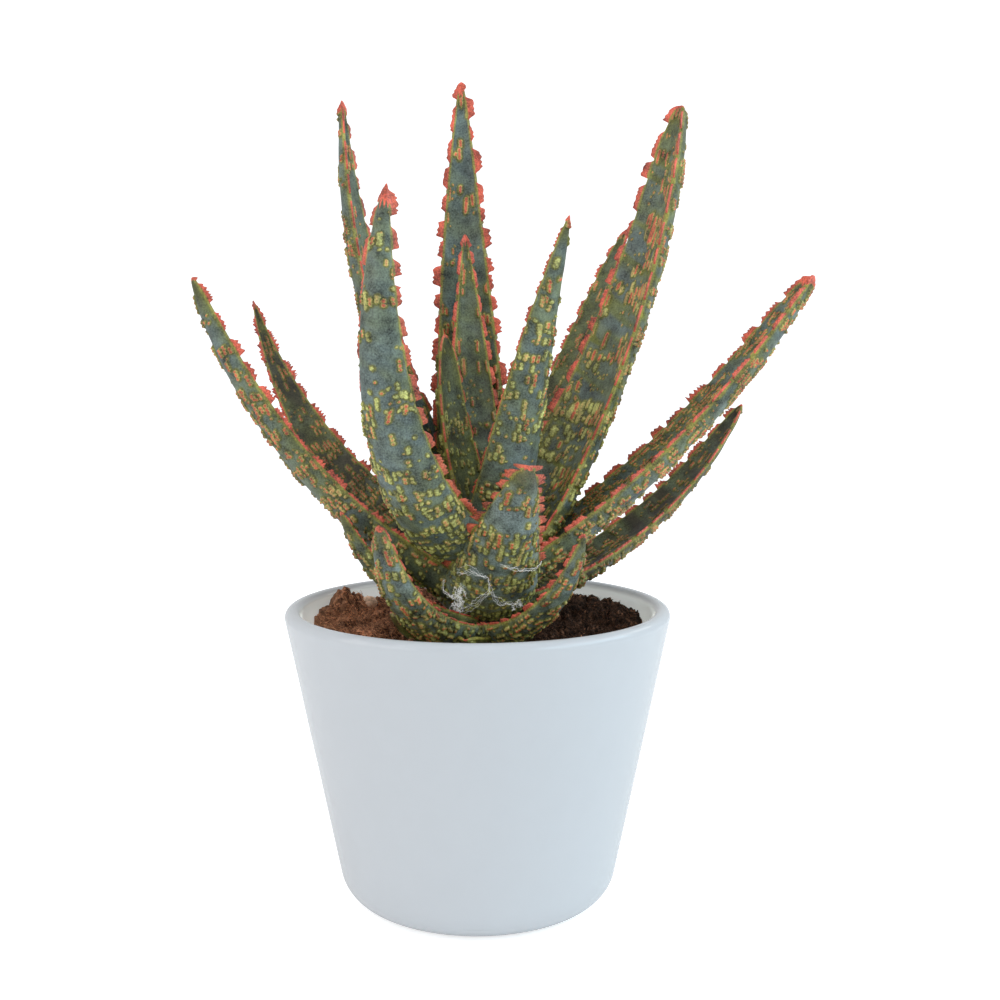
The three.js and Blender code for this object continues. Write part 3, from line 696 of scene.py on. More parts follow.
def build_pebble(settings):
    points, quads, triangles = ball(26, 40)
    dents = 1 + 0.07 * lumps(points[:, 0] * 9 + 20, points[:, 1] * 9 + points[:, 2] * 7, 5, 31)
    dents = dents + 0.09 * lumps(points[:, 0] * 9 + 20, points[:, 1] * 9 + points[:, 2] * 12, 1.6, 32)
    half = np.array([PEBBLE.length, PEBBLE.width, PEBBLE.height]) / 2
    points = points * dents[:, None] * half
    turn = math.radians(PEBBLE.turn)
    x = points[:, 0] * math.cos(turn) - points[:, 1] * math.sin(turn) + PEBBLE.x
    y = points[:, 0] * math.sin(turn) + points[:, 1] * math.cos(turn) + PEBBLE.y
    low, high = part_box("pebble")
    z = points[:, 2] + (low.z + high.z) / 2 / MM
    piece = make_mesh("stone", np.stack([x, y, z], -1), quads, triangles)
    settle(piece, stone_material(settings), "pebble", "pebble")


def build_stem(settings):
    """The stem, with a ridge round it for each leaf that it has carried."""
    rows, around = 150, 72
    height = np.linspace(STEM_BOTTOM, STEM_TOP, rows)
    taper = smoothstep(SOIL_FRONT + STEM_RADIUS, STEM_TOP - STEM_TOP_RADIUS, height)
    radius = STEM_RADIUS + (STEM_TOP_RADIUS - STEM_RADIUS) * taper
    radius = radius * np.sqrt(np.clip((STEM_TOP - height) / STEM_TOP_RADIUS, 0.01, 1))
    radius = radius * (0.5 + 0.5 * smoothstep(STEM_BOTTOM, STEM_BOTTOM + 4, height))
    turn = np.arange(around) * 2 * math.pi / around
    slope = height[:, None] + 0.6 * np.sin(turn * 3)[None] + 0.9 * np.sin(turn * 2 + height[:, None] / 7)
    scar = 0.5 + 0.5 * np.cos(slope * 2 * math.pi / settings.scar_gap * MM)
    out = radius[:, None] * (1 - 0.05 * scar)
    points = np.stack([STEM_X + out * np.cos(turn), out * np.sin(turn), height[:, None] + 0 * out], -1)
    ends = [[STEM_X, 0, STEM_BOTTOM], [STEM_X, 0, STEM_TOP]]
    piece = make_rings("stem_ringed", points, ends, {"scar": (scar, [0, 0])})
    settle(piece, stem_material(settings), "stem", "stem")


# ---- Leaves -----------------------------------------------------------------------------------------


def width_share(s, leaf):
    rounding = np.maximum(0, 1 - s ** leaf.tip) ** 0.6
    narrowing = 1 - ROOT_NARROWING * np.exp(-s / ROOT_NARROWING_REACH)
    return (1 - leaf.taper * s) * rounding * narrowing


def directions(s, leaf):
    """The way ahead along a leaf's midline, the side of its blade and the way its inner face looks."""
    heading = np.radians(leaf.heading + leaf.bend * s)
    climb = np.radians(leaf.start + (leaf.end - leaf.start) * s - leaf.belly * np.exp(-s / BELLY_REACH))
    roll = np.radians(leaf.roll + leaf.twist * s)[:, None]
    ahead = np.stack([np.cos(climb) * np.cos(heading), np.cos(climb) * np.sin(heading), np.sin(climb)], -1)
    level = np.stack([-np.sin(heading), np.cos(heading), np.zeros(len(s))], -1)
    upright = np.cross(ahead, level)
    side = level * np.cos(roll) + upright * np.sin(roll)
    return ahead, side, np.cross(ahead, side)


def midline(s, leaf):
    steps = 4000
    fine = (np.arange(steps) + 0.5) / steps
    ahead = directions(fine, leaf)[0] * leaf.length / steps
    walked = np.concatenate([np.zeros((1, 3)), np.cumsum(ahead, 0)])
    at = np.linspace(0, 1, steps + 1)
    heading = math.radians(leaf.heading)
    start = [STEM_X + ROOT_RADIUS * math.cos(heading), ROOT_RADIUS * math.sin(heading), leaf.root]
    return np.stack([start[axis] + np.interp(s, at, walked[:, axis]) for axis in range(3)], -1)


def rim_outline(x, leaf, random, height):
    """How far the rim stands out at distances x along the leaf: long lobes with a ragged, toothed edge."""
    pitch = leaf.length / round(leaf.length / TOOTH_PITCH) / leaf.lobes
    out = np.zeros(len(x))
    start = pitch * random.uniform(0.1, 0.5)
    while start < leaf.length:
        long = pitch * random.uniform(0.6, 1.25)
        t = (x - start) / long
        lean, tall = random.uniform(-0.15, 0.35), random.uniform(0.55, 1.2)
        ends = random.uniform(0.06, 0.28, 2)
        body = smoothstep(0, ends[0], t) * smoothstep(0, ends[1], 1 - t) * (1 - lean * t)
        teeth, turn = long / random.uniform(1.6, 3) * (1 + 0.5 * leaf.ragged), random.uniform(0, 1)
        skewed = t + 0.05 * np.sin(t * random.uniform(6, 14) + turn * 6)
        bite = 1 - np.abs((skewed * teeth + turn) % 1 - 0.5) * 2
        cut = random.uniform(0.06, 0.32) + leaf.ragged * random.uniform(0.3, 0.55)
        out = np.maximum(out, height * tall * body * (1 - cut * bite))
        start += long + pitch * random.uniform(0.04, 0.34)
    return out


BEAD_GAP = 1.45  # between two beads of one wart, in millimetres


def wart_field(x, y, leaf, random, layer):
    """How deep inside a wart each point of a face lies, from 1 on its crest to below 0 beyond its edge,
    and that wart's warmth and height. A wart is a short row of beads. x runs along the leaf and y across
    it, in millimetres."""
    columns = int(leaf.length / layer.gap_x) + 8
    lanes = int(1.2 * leaf.width / layer.gap_y) + 8
    shape = (columns, lanes)
    shift = random.uniform(-0.5, 0.5, columns)
    along = np.arange(columns)[:, None] - 3 + random.uniform(0.3, 0.7, (columns, 1))
    centre_x = (along + random.uniform(-0.25, 0.25, shape)) * layer.gap_x
    across = np.arange(lanes)[None] - lanes // 2 + shift[:, None] + random.uniform(0.25, 0.75, shape)
    centre_y = across * layer.gap_y
    place = np.clip(centre_x / leaf.length, 0, 1)
    clump = lumps(centre_x * 1.2, centre_y * 0.8 + 60, 6 + 5 * layer.patch, random.integers(1000))
    band = random.uniform(0.3, 1.5, (columns, 1))
    spread = 1.25 - (1.0 - 0.45 * layer.patch) * place
    chance = leaf.warts * layer.share * band * (1 + (1.1 + 1.9 * layer.patch) * clump) * spread
    taken = random.uniform(0, 1, shape) < chance
    radius = random.uniform(*layer.radius, shape) * (1 + 0.3 * layer.patch * np.maximum(0, clump))
    radius = np.where(taken, radius, 1e-3)
    beads = np.minimum(3, np.round(random.gamma(2, layer.beads, shape) * (0.4 + place)))
    long = beads * BEAD_GAP / 2 + 1e-3
    lean = random.normal(0, 0.08, shape)
    warm = smoothstep(0.25, 0.6, leaf.warm * (0.4 + place) + random.uniform(-0.35, 0.3, shape))
    tall = random.uniform(0.6, 1.0, shape)
    column = np.floor(x / layer.gap_x).astype(int) + 3
    best = np.full(y.shape, -9.0)
    best_warm, best_tall = np.zeros(y.shape), np.zeros(y.shape)
    for i in range(-2, 3):
        near = np.clip(column + i, 0, columns - 1)
        lane = np.floor(y / layer.gap_y - shift[near]).astype(int) + lanes // 2
        for j in range(-1, 2):
            cell = (near, np.clip(lane + j, 0, lanes - 1))
            run = x - centre_x[cell]
            beyond = np.maximum(0, np.abs(run) - long[cell])
            within = np.abs((np.minimum(np.abs(run), long[cell]) + long[cell]) / BEAD_GAP % 1 - 0.5)
            side = y - centre_y[cell] - lean[cell] * run
            notch = (0.5 - within) * BEAD_GAP * layer.notch
            inner = 1 - np.sqrt(beyond ** 2 + side ** 2 + notch ** 2) / radius[cell]
            nearer = inner > best
            best = np.where(nearer, inner, best)
            best_warm = np.where(nearer, warm[cell], best_warm)
            best_tall = np.where(nearer, tall[cell], best_tall)
    return np.maximum(best, -1), best_warm, best_tall * layer.height


def wart_map(x, y, leaf, random, outer):
    """The warts and the small dots between them, on one face."""
    seed = random.integers(900)
    bent_x = x + 1.8 * lumps(x * 0.3, y, 6, seed) + 0.1 * lumps(x, y, 1.3, seed + 1)
    bent_y = y + 0.6 * lumps(x * 0.3, y, 7, seed + 2) + 0.1 * lumps(x, y, 1.3, seed + 3)
    height = 1.0 if outer else 0.65
    patch = 0 if outer else leaf.patch
    grow = 1 if outer else leaf.grow
    big = SimpleNamespace(
        gap_x=3.4 * grow, gap_y=1.85 * grow, beads=0.55 * grow, share=1.2, radius=(0.64 * grow, 0.92 * grow),
        notch=1.6 - 0.9 * grow, height=height, patch=patch)
    dot = SimpleNamespace(
        gap_x=2.4, gap_y=2.1, beads=0.1, share=0.5, radius=(0.4, 0.7), notch=0, height=0.5 * height, patch=0)
    first = wart_field(bent_x, bent_y, leaf, random, big)
    second = wart_field(bent_x, bent_y, leaf, random, dot)
    return [np.where(first[0] > second[0], one, two) for one, two in zip(first, second)]


def bump(depth):
    """The rise of a wart or bead, round at its foot and a little pointed on top."""
    depth = np.clip(depth, 0, 1)
    return 0.6 * np.sqrt(1 - (1 - depth) ** 2) + 0.4 * depth


S_END = 0.9985  # the last cross-section, just short of the point that closes the tip
RIM_STATIONS = ((0.6, 0.34), (1.0, 0.0), (0.6, -0.34))  # shares of a rim's reach and of its thickness


def leaf_grid(leaf, settings):
    """The measures of a leaf at its cross-sections, from root to tip, and at its lanes across the blade."""
    s = np.linspace(0, S_END, int(leaf.length / settings.mesh_step * MM) + 2)
    even = np.linspace(-1, 1, 2 * int(0.4 * leaf.width / settings.mesh_step * MM) + 7)
    across = 0.6 * even + 0.4 * np.sin(even * math.pi / 2)
    share = width_share(s, leaf)
    half = leaf.width / 2 * share - settings.inset / MM * np.minimum(1, 4 * share)
    thick = THICKNESS_RATIO * leaf.width * share ** 0.75
    return SimpleNamespace(
        s=s,
        across=across,
        half=half,
        x=(s * leaf.length)[:, None],
        y=half[:, None] * across[None],
        edge=half[:, None] * (1 - np.abs(across))[None],
        depth=thick[:, None] * (1 - across ** 2)[None] ** 0.7,
        bow=CHANNEL_BLADE + CHANNEL_ROOT * np.exp(-s / CHANNEL_REACH),
        rim_thick=np.minimum(settings.rim_thickness / MM, half * 0.5)[:, None],
    )


def leaf_face(leaf, grid, random, settings, outer):
    """How far one face stands off the middle of the blade, and its looks."""
    x, y, edge = grid.x, grid.y, grid.edge
    fade = smoothstep(0, 0.8, edge) * smoothstep(0, 3, x) * smoothstep(0, 4, leaf.length - x)
    wart, warm, tall = wart_map(x + 0 * y, y, leaf, random, outer)
    wave = 0.2 * lumps(x + 9, y + 30, 8, random.integers(1000))
    fold = lumps(x, y * 0.15 + 40, 1.9, random.integers(1000))
    wave = wave + settings.wrinkle / MM * fold * (0.25 + leaf.bloom) * np.exp(-2.5 * grid.s)[:, None]
    raised = (tall * bump(wart) * settings.wart_height + wave) * fade
    part = 1 - INNER_SHARE if outer else INNER_SHARE
    off = part * grid.depth + grid.rim_thick / 2 * grid.across ** 4 + raised
    seam = np.exp(-(edge / 0.4) ** 2) * 0.9
    look = {"wart": np.where(edge < 0.3, -1, wart), "warm": warm, "rim": 0 * y, "seam": seam}
    return (-off if outer else off), look


def leaf_rim(leaf, grid, rim):
    """How far a rim stands off the blade's middle and reaches out at its stations, and its looks."""
    x = grid.x[:, 0]
    warm = np.clip(leaf.warm * (0.75 + 0.5 * grid.s) + 0.25 + 0.25 * lumps(x, x * 0, 11, 3), 0, 1)
    ones = np.ones((len(x), len(RIM_STATIONS)))
    out = np.concatenate([rim * far for far, _ in RIM_STATIONS], 1)
    off = np.concatenate([grid.rim_thick * at for _, at in RIM_STATIONS], 1)
    look = {"wart": -ones, "warm": warm[:, None] * ones, "rim": np.clip(rim / 0.5, 0, 1) * ones,
            "seam": 0.85 * ones}
    return off, out, look


def leaf_colours(leaf, grid, points, look):
    """Adds the colours that change along the leaf: the tip is coral or dried, the root pale, and the skin
    olive, dark or pale with wax in places. The dark is painted shade, save near the tip, and on shaded
    leaves the wax is also painted light."""
    run, over = grid.x + 0 * points[..., 0], points[..., 2] + points[..., 0]
    left = leaf.length - run
    s = grid.s[:, None]
    rim = np.zeros((len(grid.s), len(RIM_STATIONS)))
    edge = np.concatenate([grid.edge, rim, grid.edge, rim], 1)
    streak = lumps(run * 0.3, np.linspace(0, 40, run.shape[1])[None] + 0 * run, 2, 6)
    tip = smoothstep(1.5, 0.6, left / max(leaf.cap, 0.1) + 0.5 * streak)
    look["rim"] = np.maximum(look["rim"], tip)
    look["warm"] = np.maximum(look["warm"], tip * (0.5 + 0.5 * leaf.warm))
    olive = leaf.olive + 0.3 * lumps(run, over, 14, 7) + 0.2 * lumps(run, over, 4, 8)
    olive = olive + 0.7 * leaf.patch * smoothstep(0.1, 0.8, lumps(run * 0.7, over * 1.4, 6, 21))
    look["olive"] = np.clip(olive + 0.4 * np.exp(-edge / 1.2) + 0.45 * smoothstep(12, 4, left), 0, 1)
    # painted shade: dark browns the skin of leaves that lie in the shade of others, more towards the root;
    # the darkening near the tip is the skin's own colour.
    dark = leaf.dark * (1.2 - 0.6 * s) * (1 + lumps(run, over, 7, 10))
    look["dark"] = np.clip(dark + 0.5 * smoothstep(16, 4, left), 0, 1)
    folds = 0.6 + 0.5 * lumps(run, over * 0.12, 2.6, 11) + 0.4 * lumps(run, over, 13, 12)
    # Pale wax, strongest towards the root; where a shaded leaf has a high bloom it is also painted light.
    look["bloom"] = np.clip(leaf.bloom * folds * (1.5 - s), 0, 1)
    look["pale"] = 0.6 * np.exp(-run / 6)
    spots = 0.5 + lumps(run, over * 3, 1.3, 9)
    look["dry"] = np.clip(leaf.dry * 2 * spots * smoothstep(9, 3, left), 0, 1)


def build_leaf(leaf, material, settings):
    random = np.random.default_rng(int(leaf.root * 10 + leaf.heading + 720))
    grid = leaf_grid(leaf, settings)
    place = midline(grid.s, leaf)
    _, side, inner = directions(grid.s, leaf)

    def placed(across, off, out):
        angle = grid.bow[:, None] * across
        radius = (grid.half / grid.bow)[:, None]
        flare = angle * leaf.flare
        sideways = (radius - off) * np.sin(angle) + out * np.cos(flare) * np.sign(across)
        raised = radius - (radius - off) * np.cos(angle) + out * np.sin(np.abs(flare))
        return place[:, None] + sideways[..., None] * side[:, None] + raised[..., None] * inner[:, None]

    inner_off, inner_look = leaf_face(leaf, grid, random, settings, False)
    outer_off, outer_look = leaf_face(leaf, grid, random, settings, True)
    toothed = min(settings.rim_height / MM, leaf.width * 0.08) * leaf.rim
    reach = np.minimum(1, grid.half / 1.4)[:, None]
    rims = [rim_outline(grid.x[:, 0], leaf, random, toothed)[:, None] * reach for _ in range(2)]
    first_off, first_out, first_look = leaf_rim(leaf, grid, rims[0])
    second_off, second_out, second_look = leaf_rim(leaf, grid, rims[1])

    # Round each cross-section: inner face, one rim, outer face on the way back, and the other rim.
    across = grid.across[None] + 0 * grid.y
    beside = np.ones(first_off.shape)
    points = np.concatenate([
        placed(across, inner_off, 0 * across),
        placed(beside, first_off, first_out),
        placed(across[:, ::-1], outer_off[:, ::-1], 0 * across),
        placed(-beside, second_off[:, ::-1], second_out[:, ::-1]),
    ], 1)
    look = {
        key: np.concatenate([inner_look[key], first_look[key], outer_look[key][:, ::-1], second_look[key]], 1)
        for key in inner_look
    }
    leaf_colours(leaf, grid, points, look)
    ends = [points[0].mean(0), midline(np.array([1.0]), leaf)[0]]
    values = {key: (value, [value[0].mean(), value[-1].mean()]) for key, value in look.items()}
    piece = make_rings(leaf.name + "_blade", points, ends, values, outwards=False)
    settle(piece, material, "leaf", leaf.name)


def build_leaves(settings):
    material = leaf_material(settings)
    for each in LEAVES:
        build_leaf(each, material, settings)


# ---- Cobweb -----------------------------------------------------------------------------------------


def surface_point(leaf, s, across, off):
    """A point over a leaf's outer face, off millimetres out of it."""
    _, side, inner = directions(s, leaf)
    share = width_share(s, leaf)
    half = leaf.width / 2 * share
    thick = THICKNESS_RATIO * leaf.width * share ** 0.75
    bow = CHANNEL_BLADE + CHANNEL_ROOT * np.exp(-s / CHANNEL_REACH)
    angle, radius = bow * across, half / bow
    out = -(1 - INNER_SHARE) * thick * (1 - np.minimum(1, np.abs(across)) ** 2) ** 0.7 - off
    sideways = (radius - out) * np.sin(angle)
    raised = radius - (radius - out) * np.cos(angle)
    return midline(s, leaf) + side * sideways[:, None] + inner * raised[:, None]


# Where the cobweb hangs on the front leaf, as shares of its length and of its half width: the threads that
# run from point to point, and the clumps with their reach along and across and their share of the fluff.
WEB_THREADS = (
    ((0.17, -0.9), (0.1, -0.84), (0.13, -0.62), (0.15, -0.5)),
    ((0.23, -0.6), (0.15, -0.5), (0.04, -0.48)),
    ((0.04, -0.48), (0.13, -0.34), (0.205, -0.26), (0.285, -0.16), (0.36, -0.24)),
    ((0.285, -0.16), (0.225, 0), (0.2, 0.2), (0.18, 0.4)),
    ((0.455, -0.1), (0.425, 0.4), (0.37, 0.95)),
    ((0.3, -0.78), (0.365, -0.5), (0.36, -0.24)),
)
WEB_CLUMPS = ((0.19, -0.55, 0.035, 0.05, 1), (0.08, -0.5, 0.03, 0.035, 0.6), (0.18, 0.36, 0.012, 0.07, 0.25))


def build_cobweb(settings):
    """Threads and fluff caught on the lower part of the short front leaf."""
    random = np.random.default_rng(41)
    leaf = next(each for each in LEAVES if each.name == "leaf_13_short_front")
    paths, radii = [], []
    steps = 26
    for corners in WEB_THREADS:
        corners = np.array(corners)
        for _ in range(settings.strands):
            at = np.linspace(0, len(corners) - 1, steps)
            stray = np.cumsum(random.normal(0, 0.004, (steps, 2)), 0) * (1.5, 3)
            stray = stray - np.linspace(0, 1, steps)[:, None] * stray[-1]
            s, across = (np.interp(at, np.arange(len(corners)), corners[:, axis]) for axis in (0, 1))
            off = 1.5 + 0.9 * np.sin(np.linspace(0, math.pi, steps)) * random.uniform(0.2, 1)
            s, across = s + stray[:, 0], np.clip(across + stray[:, 1], -0.98, 0.98)
            paths.append(surface_point(leaf, s, across, off))
            radii.append(random.uniform(0.035, 0.085))
    steps = 12
    for s, across, long, wide, part in WEB_CLUMPS:
        for _ in range(int(settings.fluff * part)):
            start = random.normal((s, across), (long, wide))
            way = start + np.cumsum(random.normal(0, 1, (steps, 2)), 0) * (0.006, 0.014)
            off = 1.4 + np.abs(np.cumsum(random.normal(0, 0.3, steps)))
            place = surface_point(leaf, np.clip(way[:, 0], 0.03, 0.5), np.clip(way[:, 1], -0.98, 0.98), off)
            paths.append(place)
            radii.append(random.uniform(0.03, 0.08))
    piece = strands("cobweb", paths, radii)
    settle(piece, thread_material(settings), "leaf")


# ---- Stage ------------------------------------------------------------------------------------------

CAMERA_PLACE = (0, -0.504, 0.204)
CAMERA_YAW = 0.016  # radians towards +X
CAMERA_PITCH = 0.112  # radians down
CAMERA_LENS = 50.4  # millimetres
SENSOR = 36  # millimetres


def build_stage(settings):
    scene = bpy.context.scene
    camera = bpy.data.cameras.new("camera")
    camera.lens = CAMERA_LENS
    camera.sensor_width = SENSOR
    camera.clip_start = 0.01
    eye = bpy.data.objects.new("camera", camera)
    eye.location = CAMERA_PLACE
    eye.rotation_euler = (math.pi / 2 - CAMERA_PITCH, 0, -CAMERA_YAW)
    scene.collection.objects.link(eye)
    scene.camera = eye
    scene.view_settings.view_transform = "Standard"
    build_floor(settings)
    build_lights(settings)


def build_floor(settings):
    """A pale floor that curves up into a backdrop all round."""
    bend, far, high, sides = 1.2, 2.2, 3.2, 64
    angle = np.linspace(0, math.pi / 2, 14)
    radius = np.concatenate([[0.15, 0.6, 1.2], far + bend * np.sin(angle), [far + bend]])
    height = np.concatenate([[0, 0, 0], bend - bend * np.cos(angle), [high]])
    turn = np.arange(sides) * 2 * math.pi / sides
    points = np.stack([radius[:, None] * np.cos(turn), radius[:, None] * np.sin(turn),
                       height[:, None] * np.ones(sides)], -1).reshape(-1, 3)
    centre = len(points)
    fan = [(centre, i, (i + 1) % sides) for i in range(sides)]
    floor = make_mesh("studio_floor", np.concatenate([points, [[0, 0, 0]]]) / MM,
                      rings_to_quads(len(radius), sides)[:, ::-1], fan)
    material, tree, shader = new_material("pale_floor")
    shader.inputs["Base Color"].default_value = (*settings.floor, 1)
    shader.inputs["Roughness"].default_value = 0.9
    shader.inputs["Specular IOR Level"].default_value = 0.1
    shader.inputs["Emission Color"].default_value = (1, 1, 1, 1)
    seen = node(tree, "ShaderNodeLightPath").outputs["Is Camera Ray"]
    lift = maths(tree, "MULTIPLY", seen, settings.floor_glow - settings.floor_light)
    tree.links.new(maths(tree, "ADD", lift, settings.floor_light), shader.inputs["Emission Strength"])
    floor.data.materials.append(material)


def build_lights(settings):
    world = bpy.data.worlds.new("studio")
    world.use_nodes = True
    sky = world.node_tree.nodes["Background"]
    sky.inputs["Color"].default_value = (0.95, 0.97, 1, 1)
    sky.inputs["Strength"].default_value = settings.ambient
    bpy.context.scene.world = world
    target = Vector((0, 0, 0.14))
    white = (1, 1, 1)
    lamps = (
        ("key", (1.15, -0.45, 0.75), (1.6, 0.4), 0, settings.key, (0.62, 0.87, 1)),
        ("fill", (-1.15, -0.6, 0.65), (1.2, 0.5), 0, settings.fill, (1, 0.965, 0.93)),
        ("top", (0.0, -0.1, 1.5), (1.1, 1.1), 0, settings.top, white),
        ("strip_far_left", (-1.05, -0.1, 1.06), (0.32, 0.05), 0, settings.strip, white),
        ("strip_left", (-0.69, -0.53, 1.2), (0.32, 0.05), 0, settings.strip, white),
        ("strip_front", (0.07, -0.74, 1.3), (0.4, 0.05), 0, settings.strip, white),
        ("strip_right", (0.93, 0.19, 0.9), (1.4, 0.06), -26, settings.long_strip, white),
    )
    for name, place, size, roll, power, colour in lamps:
        light = bpy.data.lights.new(name, "AREA")
        light.shape = "RECTANGLE"
        light.size, light.size_y = size
        light.energy = power
        light.color = colour
        lamp = bpy.data.objects.new(name, light)
        lamp.location = place
        facing = (target - Vector(place)).to_track_quat("-Z", "Y")
        lamp.rotation_euler = (facing @ Quaternion((0, 0, 1), math.radians(roll))).to_euler()
        bpy.context.scene.collection.objects.link(lamp)


# ---- Settings ---------------------------------------------------------------------------------------


def length(name, default, description):
    return bpy.props.FloatProperty(
        name=name, description=description, default=default, min=0, unit="LENGTH", subtype="DISTANCE",
        precision=5)


def share(name, default, description):
    return bpy.props.FloatProperty(name=name, description=description, default=default, min=0, max=10)


def number(name, default, description):
    return bpy.props.IntProperty(name=name, description=description, default=default, min=3)


def power(name, default, description):
    return bpy.props.FloatProperty(name=name, description=description, default=default, min=0, unit="POWER")


def colour(name, default, description):
    return bpy.props.FloatVectorProperty(
        name=name, description=description, default=default, subtype="COLOR", size=3, min=0, max=1)


class PotSettings(bpy.types.PropertyGroup):
    sides: number("Sides", 224, "Faces round the pot")
    recess: length("Recess", 1.2 * MM, "How far the underside is sunk inside its foot ring")
    uneven: length("Unevenness", 0.07 * MM, "How far the glazed wall strays from a true cone")
    glaze: colour("Glaze", (0.625, 0.65, 0.68), "White glaze outside")
    # painted light: the glaze inside is set lighter and greener than outside, and the inside light makes it
    # glow.
    inside: colour("Glaze inside", (0.86, 0.9, 0.87), "White glaze on the inner wall, tinted by the soil")
    painted_inside_light: share("Inside light", 0.37, "Light passed on from wall to wall inside the rim")
    pit: colour("Pits", (0.2, 0.19, 0.17), "Pinholes in the glaze")
    bare: colour("Bare clay", (0.62, 0.56, 0.48), "Unglazed foot ring")


class SoilSettings(bpy.types.PropertyGroup):
    around: number("Sides", 680, "Faces round the soil's surface")
    rows: number("Rings", 134, "Rings of faces from the middle of the soil to the wall")
    chips: number("Chips", 24000, "Loose splinters and crumbs on the soil")
    fibres: number("Fibres", 3800, "Coir fibres on the soil")
    # dark is the darkest coir and light the lightest; they are mixed by soil_shade, so the darkening in the
    # hollows is painted shade.
    dark: colour("Dark", (0.02, 0.009, 0.005), "Damp coir in the hollows")
    light: colour("Light", (0.7, 0.33, 0.18), "Dry coir on the crests")


class PebbleSettings(bpy.types.PropertyGroup):
    stone: colour("Stone", (0.75, 0.5, 0.35), "Pebble")


class StemSettings(bpy.types.PropertyGroup):
    scar_gap: length("Scar gap", 4.2 * MM, "Distance between two leaf scars")
    stem: colour("Stem", (0.16, 0.15, 0.08), "Skin of the stem")
    scar: colour("Scars", (0.09, 0.05, 0.025), "Leaf scars round the stem")


class LeafSettings(bpy.types.PropertyGroup):
    mesh_step: length("Mesh step", 0.375 * MM, "Distance between two cross-sections")
    wart_height: share("Wart height", 1.3, "Height of the warts, as a share of their usual height")
    wrinkle: length("Wrinkles", 0.5 * MM, "Depth of the folds across the lower part of a leaf")
    inset: length("Inset", 0.3 * MM, "How far the skin stays inside the solid, to leave room for the teeth")
    rim_height: length("Rim height", 2.8 * MM, "How far the toothed rim stands out")
    rim_thickness: length("Rim thickness", 0.9 * MM, "Thickness of the rim where it meets the blade")
    body: colour("Body", (0.1, 0.138, 0.126), "Blue-green skin")
    # The colour of the pale wax, which on shaded leaves also serves as painted light.
    bloom: colour("Bloom", (0.24, 0.3, 0.28), "Skin with a pale coat of wax")
    olive: colour("Olive", (0.15, 0.17, 0.026), "Olive skin")
    dark: colour("Dark", (0.045, 0.04, 0.022), "Skin in the shade")
    root: colour("Root", (0.25, 0.28, 0.15), "Pale skin near the root")
    wart: colour("Wart", (0.46, 0.47, 0.15), "Yellow-green wart")
    # Partly the olive colour of a wart's edge and partly painted shade round its foot.
    wart_edge: colour("Wart edge", (0.15, 0.145, 0.02), "Edge of a wart")
    wart_heart: colour("Wart heart", (0.6, 0.13, 0.06), "Red centre of a warm wart")
    seam: colour("Seam", (0.3, 0.27, 0.05), "Line between the blade and its rim")
    rim: colour("Rim", (0.66, 0.12, 0.07), "Coral rim and teeth")
    rim_dull: colour("Dull rim", (0.4, 0.12, 0.05), "Rim of a leaf in the shade")
    dry: colour("Dry", (0.16, 0.09, 0.045), "Dried tip")


class CobwebSettings(bpy.types.PropertyGroup):
    strands: number("Strands", 4, "Strands of cobweb along each thread")
    fluff: number("Fluff", 42, "Short curled threads in each clump")
    thread: colour("Thread", (0.93, 0.93, 0.91), "Cobweb")
    # painted light: how strongly the threads glow.
    painted_glow: share("Shine", 0.25, "How much the fine threads gather light")


class StageSettings(bpy.types.PropertyGroup):
    floor: colour("Floor", (0.92, 0.92, 0.92), "Floor and backdrop")
    floor_glow: share("Floor glow", 0.6, "How much the floor is lifted towards white where it is seen")
    floor_light: share("Floor light", 0.14, "How much light the floor and backdrop give off")
    ambient: share("Ambient", 0.48, "Strength of the light from above the backdrop")
    key: power("Key", 6.9, "Cool light from the right")
    fill: power("Fill", 3, "Warm light from the left")
    top: power("Top", 0.8, "Light from above")
    strip: power("Strips", 0.6, "Each of the small lamps that glint in the lip")
    long_strip: power("Long strip", 2, "Long lamp at the right that glints in the lip")


# ---- Operators and panel ----------------------------------------------------------------------------


class ALOE_OT_stage(bpy.types.Operator):
    """Camera, pale floor and soft studio light"""

    bl_idname = "aloe.stage"
    bl_label = "Make Stage"

    def execute(self, context):
        build_stage(context.scene.aloe_stage)
        return {"FINISHED"}


class ALOE_OT_pot(bpy.types.Operator):
    """White glazed pot with its lip, foot ring and inner wall"""

    bl_idname = "aloe.pot"
    bl_label = "Make Pot"

    def execute(self, context):
        build_pot(context.scene.aloe_pot)
        return {"FINISHED"}


class ALOE_OT_soil(bpy.types.Operator):
    """Coir with its clods, crumbs and fibres"""

    bl_idname = "aloe.soil"
    bl_label = "Make Soil"

    def execute(self, context):
        build_soil(context.scene.aloe_soil)
        return {"FINISHED"}


class ALOE_OT_pebble(bpy.types.Operator):
    """Pebble on the soil"""

    bl_idname = "aloe.pebble"
    bl_label = "Make Pebble"

    def execute(self, context):
        build_pebble(context.scene.aloe_pebble)
        return {"FINISHED"}


class ALOE_OT_stem(bpy.types.Operator):
    """Short stem with its leaf scars"""

    bl_idname = "aloe.stem"
    bl_label = "Make Stem"

    def execute(self, context):
        build_stem(context.scene.aloe_stem)
        return {"FINISHED"}


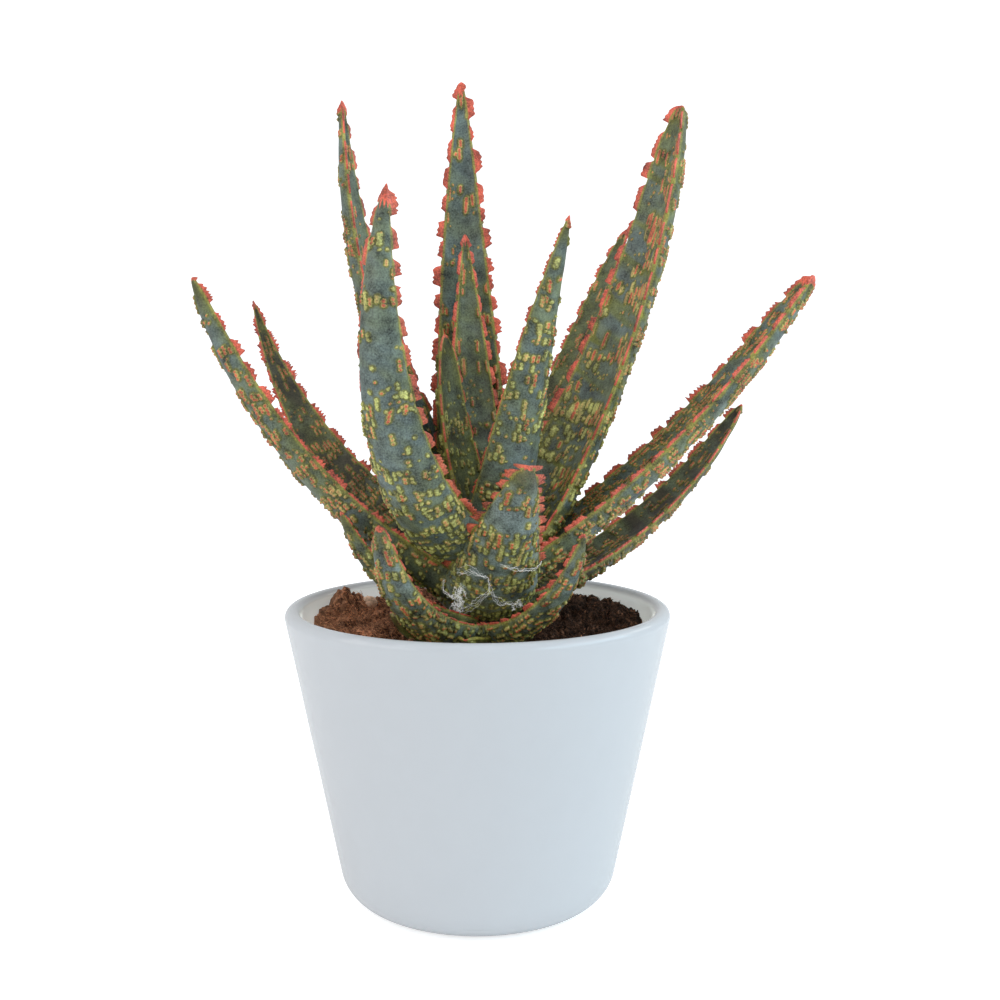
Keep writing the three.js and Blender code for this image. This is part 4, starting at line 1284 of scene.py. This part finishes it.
class ALOE_OT_leaves(bpy.types.Operator):
    """All leaves, with their warts and toothed rims"""

    bl_idname = "aloe.leaves"
    bl_label = "Make Leaves"

    def execute(self, context):
        build_leaves(context.scene.aloe_leaf)
        return {"FINISHED"}


class ALOE_OT_cobweb(bpy.types.Operator):
    """Cobweb caught low on the front leaf"""

    bl_idname = "aloe.cobweb"
    bl_label = "Make Cobweb"

    def execute(self, context):
        build_cobweb(context.scene.aloe_cobweb)
        return {"FINISHED"}


PARTS = (
    ("aloe_stage", StageSettings, ALOE_OT_stage),
    ("aloe_pot", PotSettings, ALOE_OT_pot),
    ("aloe_soil", SoilSettings, ALOE_OT_soil),
    ("aloe_pebble", PebbleSettings, ALOE_OT_pebble),
    ("aloe_stem", StemSettings, ALOE_OT_stem),
    ("aloe_leaf", LeafSettings, ALOE_OT_leaves),
    ("aloe_cobweb", CobwebSettings, ALOE_OT_cobweb),
)


class ALOE_PT_panel(bpy.types.Panel):
    """Settings and makers of the potted aloe"""

    bl_idname = "ALOE_PT_panel"
    bl_label = "Potted Aloe"
    bl_space_type = "VIEW_3D"
    bl_region_type = "UI"
    bl_category = "Aloe"

    def draw(self, context):
        for key, settings, maker in PARTS:
            box = self.layout.box()
            for field in settings.__annotations__:
                box.prop(getattr(context.scene, key), field)
            box.operator(maker.bl_idname)


def register():
    for key, settings, maker in PARTS:
        bpy.utils.register_class(settings)
        bpy.utils.register_class(maker)
        setattr(bpy.types.Scene, key, bpy.props.PointerProperty(type=settings))
    bpy.utils.register_class(ALOE_PT_panel)


def unregister():
    bpy.utils.unregister_class(ALOE_PT_panel)
    for key, settings, maker in reversed(PARTS):
        delattr(bpy.types.Scene, key)
        bpy.utils.unregister_class(maker)
        bpy.utils.unregister_class(settings)


def main():
    register()
    bpy.ops.aloe.stage()
    bpy.ops.aloe.pot()
    bpy.ops.aloe.soil()
    bpy.ops.aloe.pebble()
    bpy.ops.aloe.stem()
    bpy.ops.aloe.leaves()
    bpy.ops.aloe.cobweb()


if __name__ == "__main__":
    main()
